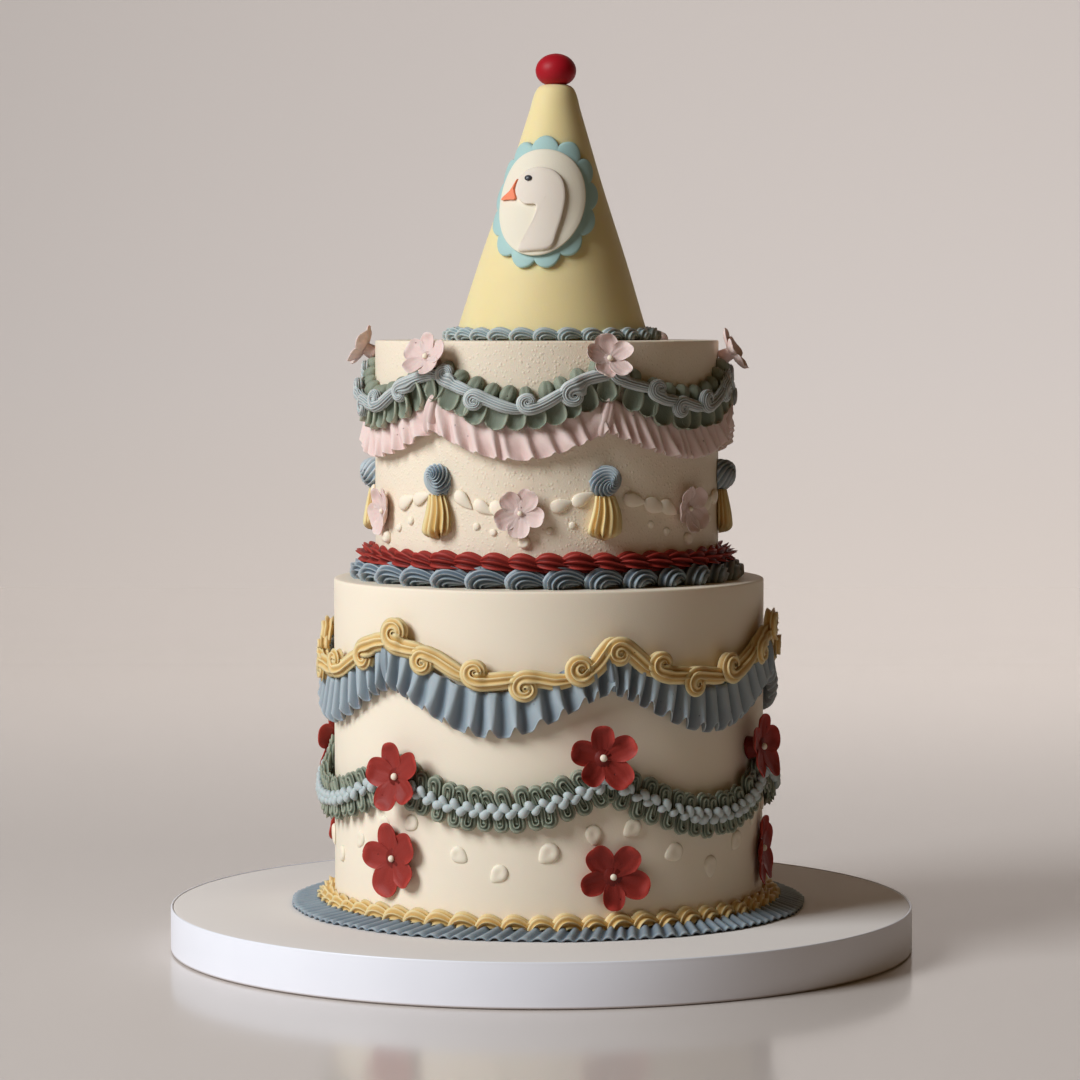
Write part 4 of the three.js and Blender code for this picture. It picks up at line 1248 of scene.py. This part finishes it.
for i in range(SWAGS):
    degrees = TOP.angle(i)
    swirl = rosette(13.8, 16.0, 8.4, 2.9 + 0.4 * math.sin(i * 1.3))
    place = spot(TOP, degrees, 0.2, ROSETTE_Z, 40.0 * math.sin(i * 2.1 + 0.6))
    piece(f"tassel_swirl_{i + 1}", moved(swirl, place), SWIRL_BLUE, f"tassel_rosette_{i + 1}")
    hanging = tassel_drop(16.4, 21.0, 7.0, 1.2 * math.sin(i * 1.9 - 1.2))
    place = spot(TOP, degrees, 0.2, TASSEL_Z, 4.0 * math.sin(i * 1.7))
    piece(f"tassel_ribbed_{i + 1}", moved(hanging, place), DEEP_GOLD, f"tassel_drop_{i + 1}")

# %% [markdown]
# ## Small ivory drops
#
# Between the tassels runs a garland of teardrops, and dots follow in a V below it. The
# bottom tier has a V of larger, flatter drops, each pulled off into a small tail. A drop
# of soft icing has steep sides and a flattened face, so neither a ball nor a cone would
# do. One of each kind is turned, and the copies tree sets it down.

# %% Garland and dots
def round_drop(radius, height, tail, dimple=0.2, steps=9, sides=20):
    """A round drop with steep sides and a flattened face, and a tail to one side (+X)."""
    around = round_angles(sides)

    def ring(q):
        r = max(0.03, math.cos(0.5 * math.pi * q) ** 0.75) if q < 1 else 0.03
        z = height * (math.sin(0.5 * math.pi * q) ** 0.85 - dimple * math.exp(-(r / 0.45) ** 2))
        stretch = 1.0 + tail * np.maximum(0, np.cos(around)) ** 4 * (1.0 - 0.7 * q)
        tip = 0.16 * height * q * r * np.cos(around)
        return radius * r * stretch * np.cos(around), radius * r * np.sin(around), z - tip - 0.2

    return through(ring, np.linspace(0.0, 1.0, steps))


GARLAND = (0.15, 0.27, 0.37, 0.73, 0.85)
DOTS = (-14.5, -8.0, 10.3, 17.0)
LOW_DROPS = ((-23.2, 70.0), (-10.5, 56.4), (1.4, 49.2), (14.2, 59.0), (25.2, 67.4))

draw = np.random.default_rng(7)
top_drops, top_dots, top_pearls, low_drops = [], [], [], []
for i in range(SWAGS):
    for along in GARLAND:
        degrees = TOP.angle(i + along) + draw.normal() * 0.4
        z = 223.0 - 10.0 * hang(along) + draw.normal() * 0.5
        spin = -24.0 if along < 0.5 else 20.0
        top_drops.append(spot(TOP, degrees, 0.1, z, spin + draw.normal() * 12))
    middle = TOP.angle(i + 0.5)
    for offset in DOTS:
        degrees, z = middle + offset + draw.normal() * 0.4, 199.6 + 0.47 * abs(offset) + draw.normal() * 0.5
        top_dots.append(spot(TOP, degrees, 0.1, z, draw.uniform(0, 360)))
    top_pearls.append(spot(TOP, middle + 2.0, 0.1, 199.0, draw.uniform(0, 360)))
    middle = BOTTOM.angle(i + 0.5)
    for offset, z in LOW_DROPS:
        degrees, z = middle + offset + draw.normal() * 0.4, z + draw.normal() * 0.5
        low_drops.append(spot(BOTTOM, degrees, 0.0, z, draw.uniform(200, 340)))

copies("garland_drops", drop(12.8, 6.8, 2.2, 1.5, 12, 16), top_drops, IVORY, 0.12, 12)
copies("garland_dots", round_drop(1.9, 1.3, 0.1, 0.0), top_dots, IVORY, 0.12, 13)
copies("garland_pearls", round_drop(2.9, 2.8, 0.1), top_pearls, IVORY, 0.06, 14)
copies("lower_drops", round_drop(4.1, 1.7, 0.45, 0.3), low_drops, IVORY, 0.14, 15)

# %% [markdown]
# ## The hat, its ball and the plaque
#
# The hat is a cone of pale yellow sugar paste that leans a little. On its front sits a
# plaque of rolled paste in layers: a scalloped oval, a plain oval on it and a goose's
# head and neck in relief. Rolled paste bends with the cone. A shrinkwrap could bend it,
# but it is simpler to draw each layer flat and wrap it by numbers: across becomes an
# angle round the cone, and up becomes its slope.

# %% Hat and ball
HAT = SimpleNamespace(foot=TOP.top, radius=46.7, taper=0.306, shoulder=401.0, top=411.0, lean=1.8, hollow=1.1)
HAT_TOP = [(11.35, 403.6), (10.9, 405.6), (10.3, 407.5), (9.6, 409.3), (8.7, 410.9), (7.4, 412.1),
           (5.5, 412.8), (0.5, 412.9)]
BALL = SimpleNamespace(x=6.9, radius=9.7, up=8.1, down=7.2, middle=419.5)


def hat_radius(z):
    return HAT.radius - HAT.taper * (z - HAT.foot) - HAT.hollow * smooth_step(320.0, 372.0, z)


def hat_lean(z):
    return HAT.lean * (z - HAT.foot) / (HAT.top - HAT.foot)


hat_profile = [(0.5, HAT.foot), (HAT.radius * 0.7, HAT.foot), (HAT.radius - 0.5, HAT.foot)]
hat_profile += [(hat_radius(z), z) for z in np.linspace(HAT.foot + 0.5, HAT.shoulder, 30)]
ball_profile = []
for t in np.radians(np.linspace(-88.0, 88.0, 44)):
    power, reach = (0.75, BALL.down) if t < 0 else (1.0, BALL.up)
    ball_profile.append((BALL.radius * math.cos(t) ** power, BALL.middle + reach * math.sin(t)))


# %% Rolled paste
def paste(name, slot, light, deep, roughness=0.6, wax=0.1, glow=(1.0, 0.6, 0.3)):
    """Sugar paste: smooth and dull, with a trace of powder and hardly any relief."""
    finish = Finish(name, slot, Subsurface_Weight=wax, Subsurface_Scale=0.005, Subsurface_Radius=glow,
                    Specular_IOR_Level=0.2)
    cloud = finish.noise(28.0, 4.0)
    powder = finish.noise(1200.0, 2.0)
    return finish.paint(Base_Color=finish.mix(cloud, tone(*deep), tone(*light)),
                        Roughness=roughness + 0.15 * powder - 0.07,
                        Normal=finish.bump(powder + 0.6 * cloud, 0.12, 0.0003))


YELLOW = paste("yellow paste", "hat_icing", (236, 220, 172), (229, 209, 150), wax=0.5, glow=(1.0, 0.7, 0.25))
AQUA = paste("aqua paste", "aqua_paste", (176, 206, 202), (160, 192, 188))
CREAM = paste("cream paste", "cream_paste", (236, 227, 208), (230, 219, 197))
WHITE = paste("white paste", "white_paste", (234, 222, 208), (228, 214, 198))
ORANGE = paste("orange paste", "orange_paste", (246, 146, 110), (240, 134, 98))
BALL_RED = paste("red sugar", "red_ball", (176, 24, 38), (158, 16, 28), 0.46)
EYE = paste("dark bead", "dark_bead", (70, 70, 76), (58, 58, 64), 0.25)
piece("hat_cone", turned(hat_profile + HAT_TOP, HAT_X, 256, hat_lean), YELLOW, "hat")
piece("hat_ball_sugar", turned(ball_profile, BALL.x, 96), BALL_RED, "hat_ball")

# %% Layers wrapped on the cone
PLAQUE = SimpleNamespace(turn=-13.6, z=356.2, width=56.6, height=66.4, scallops=13, bump=0.13)


def wrapped(outline, middle, back, front, edge=0.9, levels=9):
    """A flat outline as a thin slab on the hat, with its front edge rounded off."""
    middle = np.array(middle, dtype=float)
    round_part = edge / np.abs(outline - middle).max()
    inner = [(t, front) for t in np.linspace(0.04, 1.0 - round_part, levels)]
    soft = [(1.0 - round_part * (1 - math.sin(a)), front - edge * (1 - math.cos(a)))
            for a in np.radians([30, 55, 75, 90])]

    def ring(place):
        size, out = place
        flat = middle + (outline - middle) * size
        z = PLAQUE.z + flat[:, 1] * math.cos(math.atan(HAT.taper))
        r = hat_radius(z)
        a = math.radians(PLAQUE.turn) + flat[:, 0] / r
        return HAT_X + hat_lean(z) + (r + out) * np.sin(a), -(r + out) * np.cos(a), z

    return through(ring, inner + soft + [(1.0, back), (0.6, back), (0.04, back)])


def smooth_outline(corners, per_corner=10):
    """A closed smooth curve through a few corners."""
    p = np.array(corners, dtype=float)
    points = []
    for i in range(len(p)):
        a, b, c, d = (p[(i + k) % len(p)] for k in (-1, 0, 1, 2))
        for t in np.arange(per_corner) / per_corner:
            points.append(0.5 * (2 * b + (c - a) * t + (2 * a - 5 * b + 4 * c - d) * t ** 2
                                 + (3 * b - a - 3 * c + d) * t ** 3))
    return np.array(points)


def oval(half_width, half_height, angles, middle=(0.0, 0.0)):
    return np.stack([middle[0] + half_width * np.cos(angles), middle[1] + half_height * np.sin(angles)], -1)


# %% The plaque's layers
GOOSE = [(0.6, 17.4), (5.2, 15.6), (8.8, 10.8), (10.5, 3.0), (10.2, -6.0), (8.8, -15.0), (6.8, -22.6),
         (0.0, -24.2), (-6.6, -24.0), (-3.4, -17.4), (-1.4, -9.0), (-0.8, -1.6), (-5.6, -0.8), (-8.8, 2.0),
         (-10.2, 6.0), (-9.4, 10.8), (-7.0, 15.0), (-3.4, 17.2)]
BEAK = [(-9.7, 11.6), (-11.0, 7.0), (-9.8, 1.8), (-13.0, 1.4), (-17.0, 1.2), (-16.6, 2.6), (-12.8, 6.0)]
EYE_MIDDLE = (-4.4, 12.0)

around = round_angles(416)
arcs = np.abs(np.sin(0.5 * PLAQUE.scallops * (around + 0.12))) ** 0.75
scallop = 1.0 - PLAQUE.bump + PLAQUE.bump * arcs
plate = oval(0.5 * PLAQUE.width * scallop, 0.5 * PLAQUE.height * scallop, around)
piece("plaque_scallop_paste", wrapped(plate, (0, 0), 0.0, 2.6, 1.4), AQUA, "plaque_scallop")
piece("plaque_oval_paste", wrapped(oval(19.6, 26.4, around[::2]), (0, 0), 2.4, 4.8), CREAM, "plaque_oval")
piece("goose_relief", wrapped(smooth_outline(GOOSE), (3, 3), 4.6, 6.7, 2.0), WHITE, "goose")
beak = wrapped(smooth_outline(BEAK, 6), (-12.0, 4.6), 4.6, 6.2, 0.5)
piece("goose_beak_paste", beak, ORANGE, "goose_beak")
eye = wrapped(oval(1.4, 1.4, around[::16], EYE_MIDDLE), EYE_MIDDLE, 6.4, 7.9)
piece("goose_eye_bead", eye, EYE, "goose_eye")

# %% [markdown]
# ## Floor, light and camera
#
# The cake stands on a pale, slightly glossy table before a pale wall. One sheet with a
# round bend does for both, and it hides the corner that two planes would show. One large
# soft light from the left makes the form, a weak one brightens the wall, and the world's
# faint glow keeps the shaded side readable. The camera's place and lens come from fitting
# the outlines of the stand, tiers and hat.

# %% Stage
def sweep_sheet(width, front, bend, radius, top, steps=40):
    """Floor and wall as one sheet with a round bend, so that no corner shows."""
    profile = [(front, 0.0), (bend, 0.0)]
    for a in np.linspace(0.0, 0.5 * math.pi, steps)[1:]:
        profile.append((bend + radius * math.sin(a), radius * (1.0 - math.cos(a))))
    profile.append((bend + radius, top))
    corners = [(side * width, y, z) for y, z in profile for side in (-1, 1)]
    faces = [(2 * i, 2 * i + 1, 2 * i + 3, 2 * i + 2) for i in range(len(profile) - 1)]
    mesh = bpy.data.meshes.new("backdrop")
    mesh.from_pydata(corners, [], faces)
    mesh.shade_smooth()
    return linked("backdrop", mesh)


# Glossy where it is the table, dull where it rises into the wall
table = Finish("backdrop")
rise = table.ramp(table.height(), 0.0, 0.25)
table.paint(Base_Color=table.mix(rise, tone(220, 211, 204), tone(214, 207, 203)), Roughness=0.14 + 0.8 * rise)

backdrop = sweep_sheet(width=9.0, front=-5.0, bend=1.5, radius=1.6, top=6.0)
backdrop.data.materials.append(table.material)


# %% Lights
def soft_light(name, place, aim, size, watts, colour):
    """A rectangular light at a place, turned towards its aim."""
    light = bpy.data.lights.new(name, "AREA")
    light.shape = "RECTANGLE"
    light.size, light.size_y = size
    light.energy, light.color = watts, colour
    made = linked(name, light)
    made.location = place
    made.rotation_euler = (Vector(aim) - Vector(place)).to_track_quat("-Z", "Y").to_euler()


soft_light("window", (-2.12, -1.34, 1.75), (0, 0, 0.2), (1.2, 1.5), 89.0, (0.92, 0.965, 1.01))
soft_light("wall wash", (0.9, 1.0, 1.25), (0.9, 2.5, 0.45), (3.0, 0.4), 27.0, (1.0, 0.985, 0.985))
world = bpy.data.worlds.new("room")
world.use_nodes = True
world.node_tree.nodes["Background"].inputs["Color"].default_value = (1.0, 0.6, 0.22, 1.0)
world.node_tree.nodes["Background"].inputs["Strength"].default_value = 0.07
bpy.context.scene.world = world
bpy.context.scene.view_settings.view_transform = "Standard"

# %% Camera
camera_data = bpy.data.cameras.new("camera")
camera_data.sensor_width = 36.0
camera_data.lens = 128.0
camera_data.clip_end = 50.0
camera = linked("camera", camera_data)
camera.location = (-0.00068, -1.8396, 0.30155)
camera.rotation_euler = Euler((math.radians(90.0 - 3.30), 0.0, 0.0))
bpy.context.scene.camera = camera
